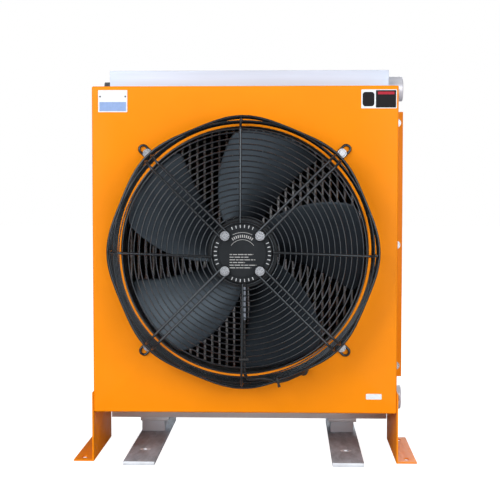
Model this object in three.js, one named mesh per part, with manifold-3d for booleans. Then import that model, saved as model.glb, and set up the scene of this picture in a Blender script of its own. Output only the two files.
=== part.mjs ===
// Air-blast hydraulic oil cooler: a brazed aluminium core with a top and a bottom tank, a painted
// sheet-steel shroud in front of it, and an axial fan whose external-rotor motor hangs on a wire guard.
// Millimetres. X runs across the cooler, Y back through it and Z up. The fan blows out of the front, at -Y.
// Depths are counted back from the shroud's front face, so what stands in front of it has a negative depth.
import * as THREE from "three";
import { mergeVertices } from "three/addons/utils/BufferGeometryUtils.js";
import Module from "manifold-3d";

const wasm = await Module();
wasm.setup();

// ---- Driving dimensions ----------------------------------------------------------------------------

const GAP = 0.3; // between two pieces that touch

const SHROUD = { width: 623, bottom: 103, top: 771, depth: 265, sheet: 3 };
const COLLAR = { radius: 250, sheet: 2.5, depth: 70 };
const FLANGE = { width: 32, halfHeight: 296, boltX: 330, boltPitch: 271.5 };

const CORE = {
  width: 623, depth: 100, bottom: 43.5, top: 826,
  sidePlate: 5, tubePitch: 16.6, tube: 5, recess: 2.5,
};
const TANK = { topHeight: 76, bottomHeight: 80.5, wall: 5 };
const PORT = {
  outerRadius: 28, boreRadius: 19, length: 34.5, depth: 320,
  heights: { upper: 788, lower: 86 },
};
const PLUG = { rimRadius: 12.5, rim: 4, hexRadius: 11, hex: 15, shankRadius: 8.2, shank: 9, holeRadius: 8.6 };
const PLUG_HEIGHTS = { vent: 795, drain: 86 };
const BRACKET = { thickness: 4, sideDepth: 30 };

const LEG = { depth: 261, plate: 3, top: 143, foot: 39, slotLength: 20, slotWidth: 10, slotInset: 30 };
const LEG_BOLT = { height: 127, frontDepth: 60, rearDepth: 205 };
const FOOT = { left: -214.5, right: 212, width: 64, plate: 8, front: -36, rear: 464 };
const FOOT_HOLES = { radius: 6, depths: [86, 430] };
const FOOT_BLOCK = { left: -218.5, right: 212, width: 52, front: 284, rear: 362 };
const FOOT_TOP = { thickness: 9, front: 274, rear: 364 };

const GUARD = {
  ribRadius: 2.5,
  ringRadius: 1.3,
  wallRingRadius: 2.1,
  face: 118, // the ribs' centre line in front of the panel
  shoulderRadius: 236,
  rimRadius: 263.5, // the ribs' centre line where the rim ring lies round them
  rimFace: 88,
  rimSag: 7.5, // how far the rim ring lies further in halfway between two ribs
  footRadius: 262.5,
  footFace: 7,
  loopHalfWidth: 8,
  loopCentre: 291.5,
  firstRing: 61.5,
  ringPitch: 10.8,
  pitchedRings: 16,
  outerRings: [235.5, 242],
  outsideRingFaces: [66, 45],
  insideRingFaces: [73, 56, 39, 22],
  seamRadius: 244, // the front grille ends and the wall begins here
  bite: 0.5, // how far a welded ring sinks into its ribs
};
// The straight spokes don't quite point at the axis: how far each stands off it at its inner and outer end.
const SPOKES = [
  { angle: 0, inner: 2.2, outer: -5.6 },
  { angle: 90, inner: 4.4, outer: 3.4 },
  { angle: 180, inner: 6.3, outer: -1 },
  { angle: 270, inner: 0, outer: -2 },
];
const GUARD_BOLT_RADIUS = 279.5; // where the four guard bolts stand round the fan's axis
const MOTOR_BOLT_RADIUS = 48.4;

const MOTOR = {
  face: 115.2, // front face of the end plate
  discRadius: 58,
  discBack: 104,
  skirtRadius: 64,
  skirtBack: 99.5,
  tubeOuter: 17,
  tubeInner: 12,
  tubeEnd: 2,
  boltHoleDepth: 12,
};
const STATOR = { radius: 60, front: -80, rear: -20, slots: 12, slotWidth: 7, slotDepth: 12 };
const COIL = { inner: 26, outer: 54, head: 15 };
const BELL = { radius: 68.5, wall: 6, front: -98.9, rear: 20, bossRadius: 14, bossFront: 5 };
const SHAFT = { radius: 6, front: -101, rear: 22 };
const BEARING = { width: 10, fronts: [-98, -10] };
const BLADE = {
  count: 5,
  root: 69.3,
  tip: 244,
  thickness: 3.2,
  phase: 164.5,
  sweep: 20,
  camber: 7,
  halfAngles: [32.5, 22], // half of the blade's width seen from the front, at its root and at its tip
  rearDepths: [14, 34],
  frontDepths: [-38, -22],
};

const CABLE = { radius: 3.5, x: 3, face: 109 };
const TIE = { strap: 1.3, halfWidth: 2, head: 3.5, headHeight: 5.5, play: 0.5, rimAngle: -74.8 };
const RIM_TIE = { inner: 258.4, outer: 270.9, back: 76.8 }; // round the rim ring and the cable beside it
const GLAND = {
  radius: 272.5,
  angle: -63.7,
  hexRadius: 11,
  hex: 10,
  bodyRadius: 9.3,
  tipRadius: 7,
  dome: 22,
  holeRadius: 8.3,
  thread: 9,
};

const NAMEPLATE = { left: -298, right: -238.5, bottom: 718.5, top: 763, thickness: 0.8, rivets: 750 };
const UPPER_LABEL = { left: 236, right: 307.5, bottom: 725, top: 763, thickness: 0.4 };
const LOWER_LABEL = { left: 248.5, right: 280.5, bottom: 132.5, top: 144, thickness: 0.4 };

const M8 = { shank: 4, hole: 4.4, head: 7.5, headHeight: 5.3, washer: 8.8, washerHeight: 1.6, nut: 6.5 };
const M8_WIDE = { ...M8, washer: 9.4 };

// ---- Derived places --------------------------------------------------------------------------------

const halfWidth = SHROUD.width / 2;
const fanHeight = (SHROUD.bottom + SHROUD.top) / 2;
const coreFront = SHROUD.depth + GAP;
const coreRear = coreFront + CORE.depth;
const topTankBottom = CORE.top - TANK.topHeight;
const bottomTankTop = CORE.bottom + TANK.bottomHeight;
const legInside = halfWidth + GAP;
const motorBoltHead = GUARD.face + GUARD.ribRadius + GAP + M8_WIDE.washerHeight + M8_WIDE.headHeight;
const middleDepth = (FOOT.rear - motorBoltHead) / 2; // this depth lies over the origin

const ROUND = 40; // sides of the large round parts
const SMALL_ROUND = 10; // sides of fastener shanks, washers and holes
const DIAGONALS = [45, 135, 225, 315];

const radians = THREE.MathUtils.degToRad;

// ---- Solids ----------------------------------------------------------------------------------------

function signedVolume(geometry) {
  const [a, b, c] = [new THREE.Vector3(), new THREE.Vector3(), new THREE.Vector3()];
  const { position } = geometry.attributes;
  const { index } = geometry;
  let volume = 0;
  for (let i = 0; i < index.count; i += 3) {
    a.fromBufferAttribute(position, index.getX(i));
    b.fromBufferAttribute(position, index.getX(i + 1));
    c.fromBufferAttribute(position, index.getX(i + 2));
    volume += a.dot(b.cross(c)) / 6;
  }
  return volume;
}

// A geometry as a manifold solid: vertices merged, faces without area dropped, the rest facing out.
function solid(geometry) {
  const bare = geometry.clone();
  bare.deleteAttribute("normal");
  bare.deleteAttribute("uv");
  const merged = mergeVertices(bare, 1e-3);
  const corners = [];
  for (let i = 0; i < merged.index.count; i += 3) {
    const [a, b, c] = [0, 1, 2].map((k) => merged.index.getX(i + k));
    if (a !== b && b !== c && c !== a) corners.push(a, b, c);
  }
  merged.setIndex(corners);
  if (signedVolume(merged) < 0) merged.setIndex(corners.reverse());
  return new wasm.Manifold(
    new wasm.Mesh({
      numProp: 3,
      vertProperties: new Float32Array(merged.attributes.position.array),
      triVerts: new Uint32Array(merged.index.array),
    }),
  );
}

function geometryOf(manifold) {
  const mesh = manifold.getMesh();
  const geometry = new THREE.BufferGeometry();
  geometry.setAttribute("position", new THREE.BufferAttribute(mesh.vertProperties, 3));
  geometry.setIndex(new THREE.BufferAttribute(mesh.triVerts, 1));
  const faceted = geometry.toNonIndexed();
  faceted.computeVertexNormals();
  return faceted;
}

const join = (...parts) => geometryOf(parts.map(solid).reduce((whole, part) => whole.add(part)));
const common = (part, tool) => geometryOf(solid(part).intersect(solid(tool)));
const cut = (part, ...tools) =>
  geometryOf(tools.map(solid).reduce((left, tool) => left.subtract(tool), solid(part)));

function box([x0, x1], [y0, y1], [z0, z1]) {
  const geometry = new THREE.BoxGeometry(x1 - x0, y1 - y0, z1 - z0);
  return geometry.translate((x0 + x1) / 2, (y0 + y1) / 2, (z0 + z1) / 2);
}

// A body turned about the Y axis. The profile is a closed outline of [radius, y] corners.
function turned(profile, sides = ROUND) {
  const outline = [...profile, profile[0]].map(([r, y]) => new THREE.Vector2(r, y));
  if (THREE.ShapeUtils.area(outline) < 0) outline.reverse();
  return new THREE.LatheGeometry(outline, sides);
}

const disc = (radius, y0, y1, sides = ROUND) => turned([[0, y0], [radius, y0], [radius, y1], [0, y1]], sides);
const tube = (inner, outer, y0, y1, sides = ROUND) =>
  turned([[inner, y0], [outer, y0], [outer, y1], [inner, y1]], sides);

// A rod along X, for the holes and bosses in the side faces.
const rodAlongX = (radius, x0, x1, y, z, sides) =>
  disc(radius, x0, x1, sides).rotateZ(-Math.PI / 2).translate(0, y, z);

const rodAlongZ = (radius, z0, z1, x, y, sides) =>
  disc(radius, z0, z1, sides).rotateX(Math.PI / 2).translate(x, y, 0);

// A route that turns only at its own points, so that each point gets one section of the sweep.
class Route extends THREE.Curve {
  constructor(points) {
    super();
    this.points = points;
  }
  getPoint(t, target = new THREE.Vector3()) {
    const along = THREE.MathUtils.clamp(t, 0, 1) * (this.points.length - 1);
    const i = Math.min(Math.floor(along), this.points.length - 2);
    return target.lerpVectors(this.points[i], this.points[i + 1], along - i);
  }
  getPointAt(u, target) {
    return this.getPoint(u, target);
  }
  getTangentAt(u, target) {
    return this.getTangent(u, target);
  }
}

function sweep(curve, radius, steps, sides) {
  const corners = Array.from({ length: sides }, (_, i) => {
    const angle = (2 * Math.PI * (i + 0.5)) / sides;
    return new THREE.Vector2(radius * Math.cos(angle), radius * Math.sin(angle));
  });
  return new THREE.ExtrudeGeometry(new THREE.Shape(corners), { steps, extrudePath: curve });
}

const wire = (points, radius) => sweep(new Route(points), radius, points.length - 1, 6);

// Seen from the front, angles run anticlockwise from the right, and `face` is how far in front of the panel.
const onFan = (angle, radius, face) =>
  new THREE.Vector3(radius * Math.cos(radians(angle)), -face, radius * Math.sin(radians(angle)));

// ---- Scene graph -----------------------------------------------------------------------------------

const FINISH = {
  paint: { color: 0xfd981c, roughness: 0.45, metalness: 0.0 },
  aluminium: { color: 0xc9ced6, roughness: 0.35, metalness: 0.9 },
  fins: { color: 0x2b2c30, roughness: 0.6, metalness: 0.6 },
  extrusion: { color: 0x8f8a8c, roughness: 0.5, metalness: 0.8 },
  zinc: { color: 0xd9dce0, roughness: 0.25, metalness: 1.0 },
  black: { color: 0x17181b, roughness: 0.3, metalness: 0.2 },
  blade: { color: 0x343a44, roughness: 0.4, metalness: 0.3 },
  steel: { color: 0x9a9ea3, roughness: 0.4, metalness: 1.0 },
  copper: { color: 0xb4683a, roughness: 0.45, metalness: 0.8 },
  rubber: { color: 0x121214, roughness: 0.7, metalness: 0.0 },
  label: { color: 0xeceff2, roughness: 0.5, metalness: 0.0 },
};

const cooler = new THREE.Group();
const assembly = new THREE.Group(); // depths are Y values in here
assembly.position.y = -middleDepth;
cooler.add(assembly);

const fanGroup = new THREE.Group(); // the fan's axis is the Y axis in here
fanGroup.position.z = fanHeight;
assembly.add(fanGroup);

function piece(parent, name, geometry, finish, position = [0, 0, 0]) {
  const mesh = new THREE.Mesh(geometry, new THREE.MeshStandardMaterial(FINISH[finish]));
  mesh.name = name;
  mesh.position.set(...position);
  parent.add(mesh);
  return mesh;
}

// ---- Fasteners -------------------------------------------------------------------------------------

// A hexagon bolt with its washer. It points along +Y, and the washer's seat is at y = 0.
function bolt({ shank, head, headHeight, washer, washerHeight }, length) {
  const stem = turned(
    [[0, -washerHeight], [washer, -washerHeight], [washer, 0], [shank, 0], [shank, length], [0, length]],
    SMALL_ROUND,
  );
  return join(stem, disc(head, -washerHeight - headHeight, -washerHeight + 0.5, 6));
}

// A nut welded behind a sheet, with its axis along Y, from y = 0 back.
const weldNut = (size) => disc(size.head, -0.5, size.nut, 6);

// ---- Shroud ----------------------------------------------------------------------------------------

const legBoltPlaces = [LEG_BOLT.frontDepth, LEG_BOLT.rearDepth];
const flangeBoltHeights = [-1, 0, 1].map((step) => fanHeight + step * FLANGE.boltPitch);
const glandPlace = onFan(GLAND.angle, GLAND.radius, 0);
const guardBoltPlaces = DIAGONALS.map((angle) => onFan(angle, GUARD_BOLT_RADIUS, 0));

function shroudGeometry() {
  const { bottom, top, depth, sheet } = SHROUD;
  const rim = COLLAR.radius + COLLAR.sheet + GAP;
  const flangeX = [halfWidth - sheet, halfWidth + FLANGE.width];
  const flangeZ = [fanHeight - FLANGE.halfHeight, fanHeight + FLANGE.halfHeight];
  const solids = [box([-halfWidth, halfWidth], [0, depth], [bottom, top])];
  const inside = halfWidth - sheet;
  const hollow = box([-inside, inside], [sheet, depth + 1], [bottom + sheet, top - sheet]);
  const added = [];
  const holes = [disc(rim, -1, sheet + 1).translate(0, 0, fanHeight)];
  for (const side of [-1, 1]) {
    const x = flangeX.map((value) => value * side).sort((a, b) => a - b);
    added.push(box(x, [depth - sheet, depth], flangeZ));
    for (const z of flangeBoltHeights) {
      const hole = disc(M8.hole, depth - sheet - 1, depth + 1, SMALL_ROUND);
      holes.push(hole.translate(side * FLANGE.boltX, 0, z));
    }
    for (const y of legBoltPlaces) {
      const inner = side * inside;
      const nutEnd = side * (inside - M8.nut);
      const [x0, x1] = [inner + side * 0.5, nutEnd].sort((a, b) => a - b);
      added.push(rodAlongX(M8.head, x0, x1, y, LEG_BOLT.height, 6));
      const [h0, h1] = [side * (halfWidth + 1), nutEnd - side].sort((a, b) => a - b);
      holes.push(rodAlongX(M8.hole, h0, h1, y, LEG_BOLT.height, SMALL_ROUND));
    }
  }
  for (const { x, z } of guardBoltPlaces) {
    added.push(weldNut(M8).translate(x, sheet, z + fanHeight));
    holes.push(disc(M8.hole, -1, sheet + M8.nut + 1, SMALL_ROUND).translate(x, 0, z + fanHeight));
  }
  holes.push(disc(GLAND.holeRadius, -1, sheet + 1, 24).translate(glandPlace.x, 0, glandPlace.z + fanHeight));
  const shell = cut(solids[0], hollow);
  return cut(join(shell, ...added), ...holes);
}

function buildShroud() {
  piece(assembly, "fan_shroud", shroudGeometry(), "paint");
  piece(fanGroup, "fan_collar", tube(COLLAR.radius, COLLAR.radius + COLLAR.sheet, 0, COLLAR.depth), "black");
}

// ---- Core, tanks and ports -------------------------------------------------------------------------

// Flat tubes stand upright with fin rows between them. The fins end a little behind the tubes' edges.
function coreMatrixGeometry() {
  const halfCore = CORE.width / 2 - CORE.sidePlate - GAP;
  const rows = Math.floor((2 * halfCore - CORE.tube) / CORE.tubePitch);
  const firstTube = (-rows * CORE.tubePitch) / 2;
  const front = [];
  for (let i = 0; i < rows; i += 1) {
    const finStart = firstTube + i * CORE.tubePitch + CORE.tube / 2;
    const finEnd = finStart + CORE.tubePitch - CORE.tube;
    front.push([finStart, 0], [finStart, CORE.recess], [finEnd, CORE.recess], [finEnd, 0]);
  }
  const rear = front.map(([x, y]) => [x, CORE.depth - y]).reverse();
  const [first, last] = [[-halfCore, 0], [halfCore, 0]];
  const outline = [first, ...front, last, [halfCore, CORE.depth], ...rear, [-halfCore, CORE.depth]];
  const shape = new THREE.Shape(outline.map(([x, y]) => new THREE.Vector2(x, y)));
  const height = topTankBottom - bottomTankTop - 2 * GAP;
  return new THREE.ExtrudeGeometry(shape, { depth: height, bevelEnabled: false })
    .translate(0, coreFront, bottomTankTop + GAP);
}

// A tank is a channel open towards the core, with a port hole in its right end and a plug hole in its left.
function tankGeometry(bottom, top, portHeight, plugHeight, openBelow) {
  const cavityZ = openBelow ? [bottom - 1, top - TANK.wall] : [bottom + TANK.wall, top + 1];
  const cavityX = [TANK.wall - halfWidth, halfWidth - TANK.wall];
  const cavityY = [coreFront + TANK.wall, coreRear - TANK.wall];
  return cut(
    box([-halfWidth, halfWidth], [coreFront, coreRear], [bottom, top]),
    box(cavityX, cavityY, cavityZ),
    rodAlongX(PORT.boreRadius, halfWidth - TANK.wall - 1, halfWidth + 1, PORT.depth, portHeight, 24),
    rodAlongX(PLUG.holeRadius, -halfWidth - 1, TANK.wall + 1 - halfWidth, PORT.depth, plugHeight, SMALL_ROUND),
  );
}

const portGeometry = () =>
  tube(PORT.boreRadius, PORT.outerRadius, 0, PORT.length, 32).rotateZ(-Math.PI / 2);

function plugGeometry() {
  const { rim, rimRadius, shank, shankRadius } = PLUG;
  const stem = turned(
    [[0, -rim], [rimRadius, -rim], [rimRadius, 0], [shankRadius, 0], [shankRadius, shank], [0, shank]],
    SMALL_ROUND,
  );
  return join(stem, disc(PLUG.hexRadius, -rim - PLUG.hex, 0.5 - rim, 6)).rotateZ(-Math.PI / 2);
}

function bracketGeometry(side) {
  const span = (near, far) => [side * near, side * far].sort((a, b) => a - b);
  const z = [fanHeight - FLANGE.halfHeight, fanHeight + FLANGE.halfHeight];
  const near = halfWidth + GAP;
  const nuts = [];
  const holes = [];
  for (const height of flangeBoltHeights) {
    nuts.push(weldNut(M8).translate(side * FLANGE.boltX, coreFront + BRACKET.thickness, height));
    const reach = coreFront + BRACKET.thickness + M8.nut + 1;
    holes.push(disc(M8.hole, coreFront - 1, reach, SMALL_ROUND).translate(side * FLANGE.boltX, 0, height));
  }
  const angle = join(
    box(span(near, halfWidth + FLANGE.width), [coreFront, coreFront + BRACKET.thickness], z),
    box(span(near, near + BRACKET.thickness), [coreFront, coreFront + BRACKET.sideDepth], z),
    ...nuts,
  );
  return cut(angle, ...holes);
}

function buildCore() {
  const core = new THREE.Group();
  assembly.add(core);
  piece(core, "core_matrix", coreMatrixGeometry(), "fins");
  const { upper, lower } = PORT.heights;
  const { vent, drain } = PLUG_HEIGHTS;
  piece(core, "top_tank", tankGeometry(topTankBottom, CORE.top, upper, vent, true), "aluminium");
  piece(core, "bottom_tank", tankGeometry(CORE.bottom, bottomTankTop, lower, drain, false), "aluminium");
  const sideZ = [bottomTankTop + GAP, topTankBottom - GAP];
  for (const [word, side] of [["left", -1], ["right", 1]]) {
    const x = [side * (halfWidth - CORE.sidePlate), side * halfWidth].sort((a, b) => a - b);
    piece(core, `core_side_plate_${word}`, box(x, [coreFront, coreRear], sideZ), "aluminium");
    piece(core, `core_bracket_${word}`, bracketGeometry(side), "aluminium");
  }
  for (const [word, z] of Object.entries(PORT.heights)) {
    piece(core, `${word}_port`, portGeometry(), "aluminium", [halfWidth + GAP, PORT.depth, z]);
  }
  for (const [word, z] of Object.entries(PLUG_HEIGHTS)) {
    piece(core, `${word}_plug`, plugGeometry(), "zinc", [-halfWidth - GAP, PORT.depth, z]);
  }
}

// ---- Feet and legs ---------------------------------------------------------------------------------

function footPlateGeometry() {
  const half = FOOT.width / 2;
  const holes = FOOT_HOLES.depths.map((y) => rodAlongZ(FOOT_HOLES.radius, -1, FOOT.plate + 1, 0, y, 24));
  return cut(box([-half, half], [FOOT.front, FOOT.rear], [0, FOOT.plate]), ...holes);
}

// An L section for the right-hand side; the left one is the same piece turned half round.
function legGeometry() {
  const { depth, plate, top, foot, slotLength, slotWidth, slotInset } = LEG;
  const halfDepth = depth / 2;
  const slots = [slotInset - halfDepth, halfDepth - slotInset].flatMap((y) => {
    const x = plate + (foot + 1) / 2;
    const reach = (slotLength - slotWidth) / 2;
    const z = [-1, plate + 1];
    const ends = [-reach, reach].map((offset) => rodAlongZ(slotWidth / 2, ...z, x, y + offset, SMALL_ROUND));
    return [box([x - slotWidth / 2, x + slotWidth / 2], [y - reach, y + reach], z), ...ends];
  });
  const holes = legBoltPlaces.map((y) =>
    rodAlongX(M8.hole, -1, plate + 1, y - halfDepth, LEG_BOLT.height, SMALL_ROUND));
  const angle = join(
    box([0, plate], [-halfDepth, halfDepth], [0, top]),
    box([0, plate + foot], [-halfDepth, halfDepth], [0, plate]),
  );
  return cut(angle, ...slots, ...holes);
}

function buildFeet() {
  const blockBottom = FOOT.plate + GAP;
  const topPlateTop = CORE.bottom - GAP;
  const blockTop = topPlateTop - FOOT_TOP.thickness - GAP;
  const halfBlock = FOOT_BLOCK.width / 2;
  const halfFoot = FOOT.width / 2;
  for (const [word, side] of [["left", -1], ["right", 1]]) {
    const at = [FOOT[word], 0, 0];
    piece(assembly, `foot_plate_${word}`, footPlateGeometry(), "extrusion", at);
    const block = box([-halfBlock, halfBlock], [FOOT_BLOCK.front, FOOT_BLOCK.rear], [blockBottom, blockTop]);
    piece(assembly, `foot_block_${word}`, block, "extrusion", [FOOT_BLOCK[word], 0, 0]);
    const topPlateHeights = [blockTop + GAP, topPlateTop];
    const topPlate = box([-halfFoot, halfFoot], [FOOT_TOP.front, FOOT_TOP.rear], topPlateHeights);
    piece(assembly, `foot_top_plate_${word}`, topPlate, "extrusion", at);
    const leg = piece(assembly, `leg_${word}`, legGeometry(), "paint", [side * legInside, LEG.depth / 2, 0]);
    if (side < 0) leg.scale.x = -1;
    const seat = side * (legInside + LEG.plate + GAP);
    const reach = LEG.plate + SHROUD.sheet + M8.nut + 3 * GAP;
    for (const [i, y] of legBoltPlaces.entries()) {
      const name = `leg_bolt_${word}_${["front", "rear"][i]}`;
      const mesh = piece(assembly, name, bolt(M8, reach), "zinc", [seat, y, LEG_BOLT.height]);
      mesh.rotation.z = (side * Math.PI) / 2;
    }
    for (const [i, z] of flangeBoltHeights.entries()) {
      const name = `flange_bolt_${word}_${["lower", "middle", "upper"][i]}`;
      const length = SHROUD.sheet + BRACKET.thickness + M8.nut + 3 * GAP;
      const flange = SHROUD.depth - SHROUD.sheet - GAP;
      piece(assembly, name, bolt(M8_WIDE, length), "zinc", [side * FLANGE.boltX, flange, z]);
    }
  }
}

// ---- Guard -----------------------------------------------------------------------------------------

const wallRadius = (face) =>
  THREE.MathUtils.mapLinear(face, GUARD.footFace, GUARD.rimFace, GUARD.footRadius, GUARD.rimRadius);

// The bend of a rib's centre line from the front to the wall, as [radius, face] pairs.
function shoulderProfile() {
  const { face, shoulderRadius, rimRadius, rimFace } = GUARD;
  return [0, 22.5, 45, 67.5, 90].map((angle) => [
    shoulderRadius + (rimRadius - shoulderRadius) * Math.sin(radians(angle)),
    rimFace + (face - rimFace) * Math.cos(radians(angle)),
  ]);
}

// A round wire closed on itself. It sags inwards between the eight ribs, so that it is slightly octagonal.
function ring(radius, face, wireRadius, sag, sides) {
  const section = [0, 1, 2, 3].map((i) => {
    const angle = (i * Math.PI) / 2;
    return [radius + wireRadius * Math.cos(angle), wireRadius * Math.sin(angle) - face];
  });
  const geometry = turned(section, sides);
  const { position } = geometry.attributes;
  for (let i = 0; i < position.count; i += 1) {
    const [x, z] = [position.getX(i), position.getZ(i)];
    const reach = Math.hypot(x, z);
    const scale = 1 - (sag * (1 - Math.cos(8 * Math.atan2(z, x)))) / (2 * reach);
    position.setXYZ(i, x * scale, position.getY(i), z * scale);
  }
  return geometry;
}

// One of the two wires of a diagonal rib, from the loop round the motor bolt to the loop on the panel.
function loopWire(angle, side) {
  const { loopHalfWidth, loopCentre, footRadius, footFace, ribRadius } = GUARD;
  const seat = ribRadius + GAP;
  const bend = footFace - seat;
  const turns = [-6, 30, 60].map(radians);
  const inner = turns.map((turn) => [
    MOTOR_BOLT_RADIUS - loopHalfWidth * Math.cos(turn),
    GUARD.face,
    loopHalfWidth * Math.sin(turn),
  ]);
  const foot = [[footRadius, footFace], [footRadius + bend, seat], [loopCentre, seat]];
  const middle = [[MOTOR_BOLT_RADIUS, GUARD.face], ...shoulderProfile(), ...foot];
  const outer = turns.reverse().map((turn) => [
    loopCentre + loopHalfWidth * Math.cos(turn),
    seat,
    loopHalfWidth * Math.sin(turn),
  ]);
  const points = [...inner, ...middle.map(([r, face]) => [r, face, loopHalfWidth]), ...outer];
  const across = onFan(angle + 90, side, 0);
  return wire(points.map(([r, face, off]) => onFan(angle, r, face).addScaledVector(across, off)), ribRadius);
}

function spokeWire({ angle, inner, outer }) {
  const start = GUARD.firstRing - 2;
  const profile = [[start, GUARD.face], ...shoulderProfile(), [wallRadius(GUARD.footFace), GUARD.footFace]];
  const across = onFan(angle + 90, 1, 0);
  const points = profile.map(([r, face]) => {
    const off = THREE.MathUtils.mapLinear(r, start, GUARD.rimRadius, inner, outer);
    return onFan(angle, r, face).addScaledVector(across, off);
  });
  return wire(points, GUARD.ribRadius);
}

// All the rings, straight spokes and looped ribs. Only the diagonal loops reach the panel.
function guardWires() {
  const { ribRadius, ringRadius, wallRingRadius, face, rimFace, rimSag, bite } = GUARD;
  const frontFace = face - ribRadius - ringRadius + bite;
  const loops = DIAGONALS.flatMap((angle) => [-1, 1].map((side) => loopWire(angle, side)));
  const pitched = Array.from({ length: GUARD.pitchedRings }, (_, i) => GUARD.firstRing + GUARD.ringPitch * i);
  const inside = (level) => wallRadius(level) - ribRadius - wallRingRadius + bite;
  const outside = (level, wireRadius) => wallRadius(level) + ribRadius + wireRadius - bite;
  return {
    ribs: [...loops, ...SPOKES.map(spokeWire)],
    front: [...pitched, ...GUARD.outerRings].map((r) => ring(r, frontFace, ringRadius, 0, r < 125 ? 16 : 24)),
    wall: [
      ring(outside(rimFace, ribRadius), rimFace, ribRadius, rimSag, 32),
      ...GUARD.outsideRingFaces.map((level) =>
        ring(outside(level, wallRingRadius), level, wallRingRadius, rimSag, 32)),
      ...GUARD.insideRingFaces.map((level) => ring(inside(level), level, wallRingRadius, 0, 26)),
    ],
  };
}

// The guard comes apart at a seam through the ribs: a flat grille in front and a wall behind it.
function guardGeometries() {
  const { ribs, front, wall } = guardWires();
  const { seamRadius, face } = GUARD;
  const inFront = [-face - 10, -face + 10];
  const inner = disc(seamRadius - GAP / 2, ...inFront, 64);
  const outer = disc(seamRadius + GAP / 2, ...inFront, 64);
  return {
    grille: common(join(...ribs, ...front), inner),
    wall: cut(join(...ribs, ...wall), outer),
  };
}

function buildGuard() {
  const { grille, wall } = guardGeometries();
  piece(fanGroup, "guard_grille", grille, "black");
  piece(fanGroup, "guard_wall", wall, "black");
  const corners = ["upper_right", "upper_left", "lower_left", "lower_right"];
  const panelSeat = 2 * (GUARD.ribRadius + GAP);
  const motorSeat = GUARD.face + GUARD.ribRadius + GAP;
  for (const [i, angle] of DIAGONALS.entries()) {
    const panel = onFan(angle, GUARD_BOLT_RADIUS, panelSeat);
    const length = panelSeat + SHROUD.sheet + M8.nut;
    piece(fanGroup, `guard_bolt_${corners[i]}`, bolt(M8_WIDE, length), "zinc", panel.toArray());
    const motor = onFan(angle, MOTOR_BOLT_RADIUS, motorSeat);
    const depth = motorSeat - MOTOR.face + MOTOR.boltHoleDepth - 1;
    piece(fanGroup, `motor_bolt_${corners[i]}`, bolt(M8_WIDE, depth), "zinc", motor.toArray());
  }
}

// ---- Motor and fan ---------------------------------------------------------------------------------

function endPlateGeometry() {
  const { face, discRadius, discBack, skirtRadius, skirtBack, tubeOuter, tubeInner, tubeEnd } = MOTOR;
  const body = turned([
    [0, -face], [discRadius, -face], [discRadius, -discBack], [skirtRadius, -discBack], [skirtRadius, -skirtBack],
    [tubeOuter, -skirtBack], [tubeOuter, tubeEnd], [tubeInner, tubeEnd], [tubeInner, -discBack], [0, -discBack],
  ]);
  const holes = DIAGONALS.map((angle) => {
    const { x, z } = onFan(angle, MOTOR_BOLT_RADIUS, 0);
    return disc(M8.hole, -face - 1, MOTOR.boltHoleDepth - face, SMALL_ROUND).translate(x, 0, z);
  });
  return cut(body, ...holes);
}

// Radial bars through the stator: the winding's own, or wider by `clearance` as the slots they lie in.
function slotBars(clearance) {
  const inner = (COIL.inner + COIL.outer - STATOR.slotDepth) / 2 - clearance;
  const outer = inner + STATOR.slotDepth + 2 * clearance;
  const half = STATOR.slotWidth / 2 + clearance;
  return Array.from({ length: STATOR.slots }, (_, i) =>
    box([inner, outer], [STATOR.front - 1, STATOR.rear + 1], [-half, half]).rotateY((2 * Math.PI * i) / STATOR.slots));
}

function windingGeometry() {
  const front = STATOR.front - GAP;
  const rear = STATOR.rear + GAP;
  return join(
    tube(COIL.inner, COIL.outer, front - COIL.head, front, 24),
    tube(COIL.inner, COIL.outer, rear, rear + COIL.head, 24),
    ...slotBars(0),
  );
}

function statorGeometry() {
  return cut(tube(MOTOR.tubeOuter + GAP, STATOR.radius, STATOR.front, STATOR.rear, 36), ...slotBars(GAP));
}

function bellGeometry() {
  const { radius, wall, front, rear, bossRadius, bossFront } = BELL;
  const bore = SHAFT.radius + GAP;
  const floor = rear - wall;
  return turned([
    [bore, rear], [radius, rear], [radius, front], [radius - wall, front], [radius - wall, floor],
    [bossRadius, floor], [bossRadius, bossFront], [bore, bossFront],
  ]);
}

// A forward-swept blade. `out` runs from root to tip and `across` from the rear edge to the front edge.
function bladePoint(out, across, offset, turn) {
  const radius = THREE.MathUtils.lerp(BLADE.root, BLADE.tip, out);
  const middle = BLADE.phase - BLADE.sweep * out + turn;
  const half = THREE.MathUtils.lerp(...BLADE.halfAngles, out ** 0.8);
  const rearEdge = THREE.MathUtils.lerp(...BLADE.rearDepths, out);
  const frontEdge = THREE.MathUtils.lerp(...BLADE.frontDepths, out);
  const bow = BLADE.camber * 4 * across * (1 - across);
  const depth = THREE.MathUtils.lerp(rearEdge, frontEdge, across) - bow + offset;
  return onFan(middle + half * (2 * across - 1), radius, -depth);
}

function bladeGeometry(turn) {
  const geometry = new THREE.BoxGeometry(1, 1, 1, 6, 6, 1);
  const { position } = geometry.attributes;
  for (let i = 0; i < position.count; i += 1) {
    const [out, across] = [position.getX(i) + 0.5, position.getY(i) + 0.5];
    const point = bladePoint(out, across, position.getZ(i) * BLADE.thickness, turn);
    position.setXYZ(i, point.x, point.y, point.z);
  }
  return geometryOf(solid(geometry));
}

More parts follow.
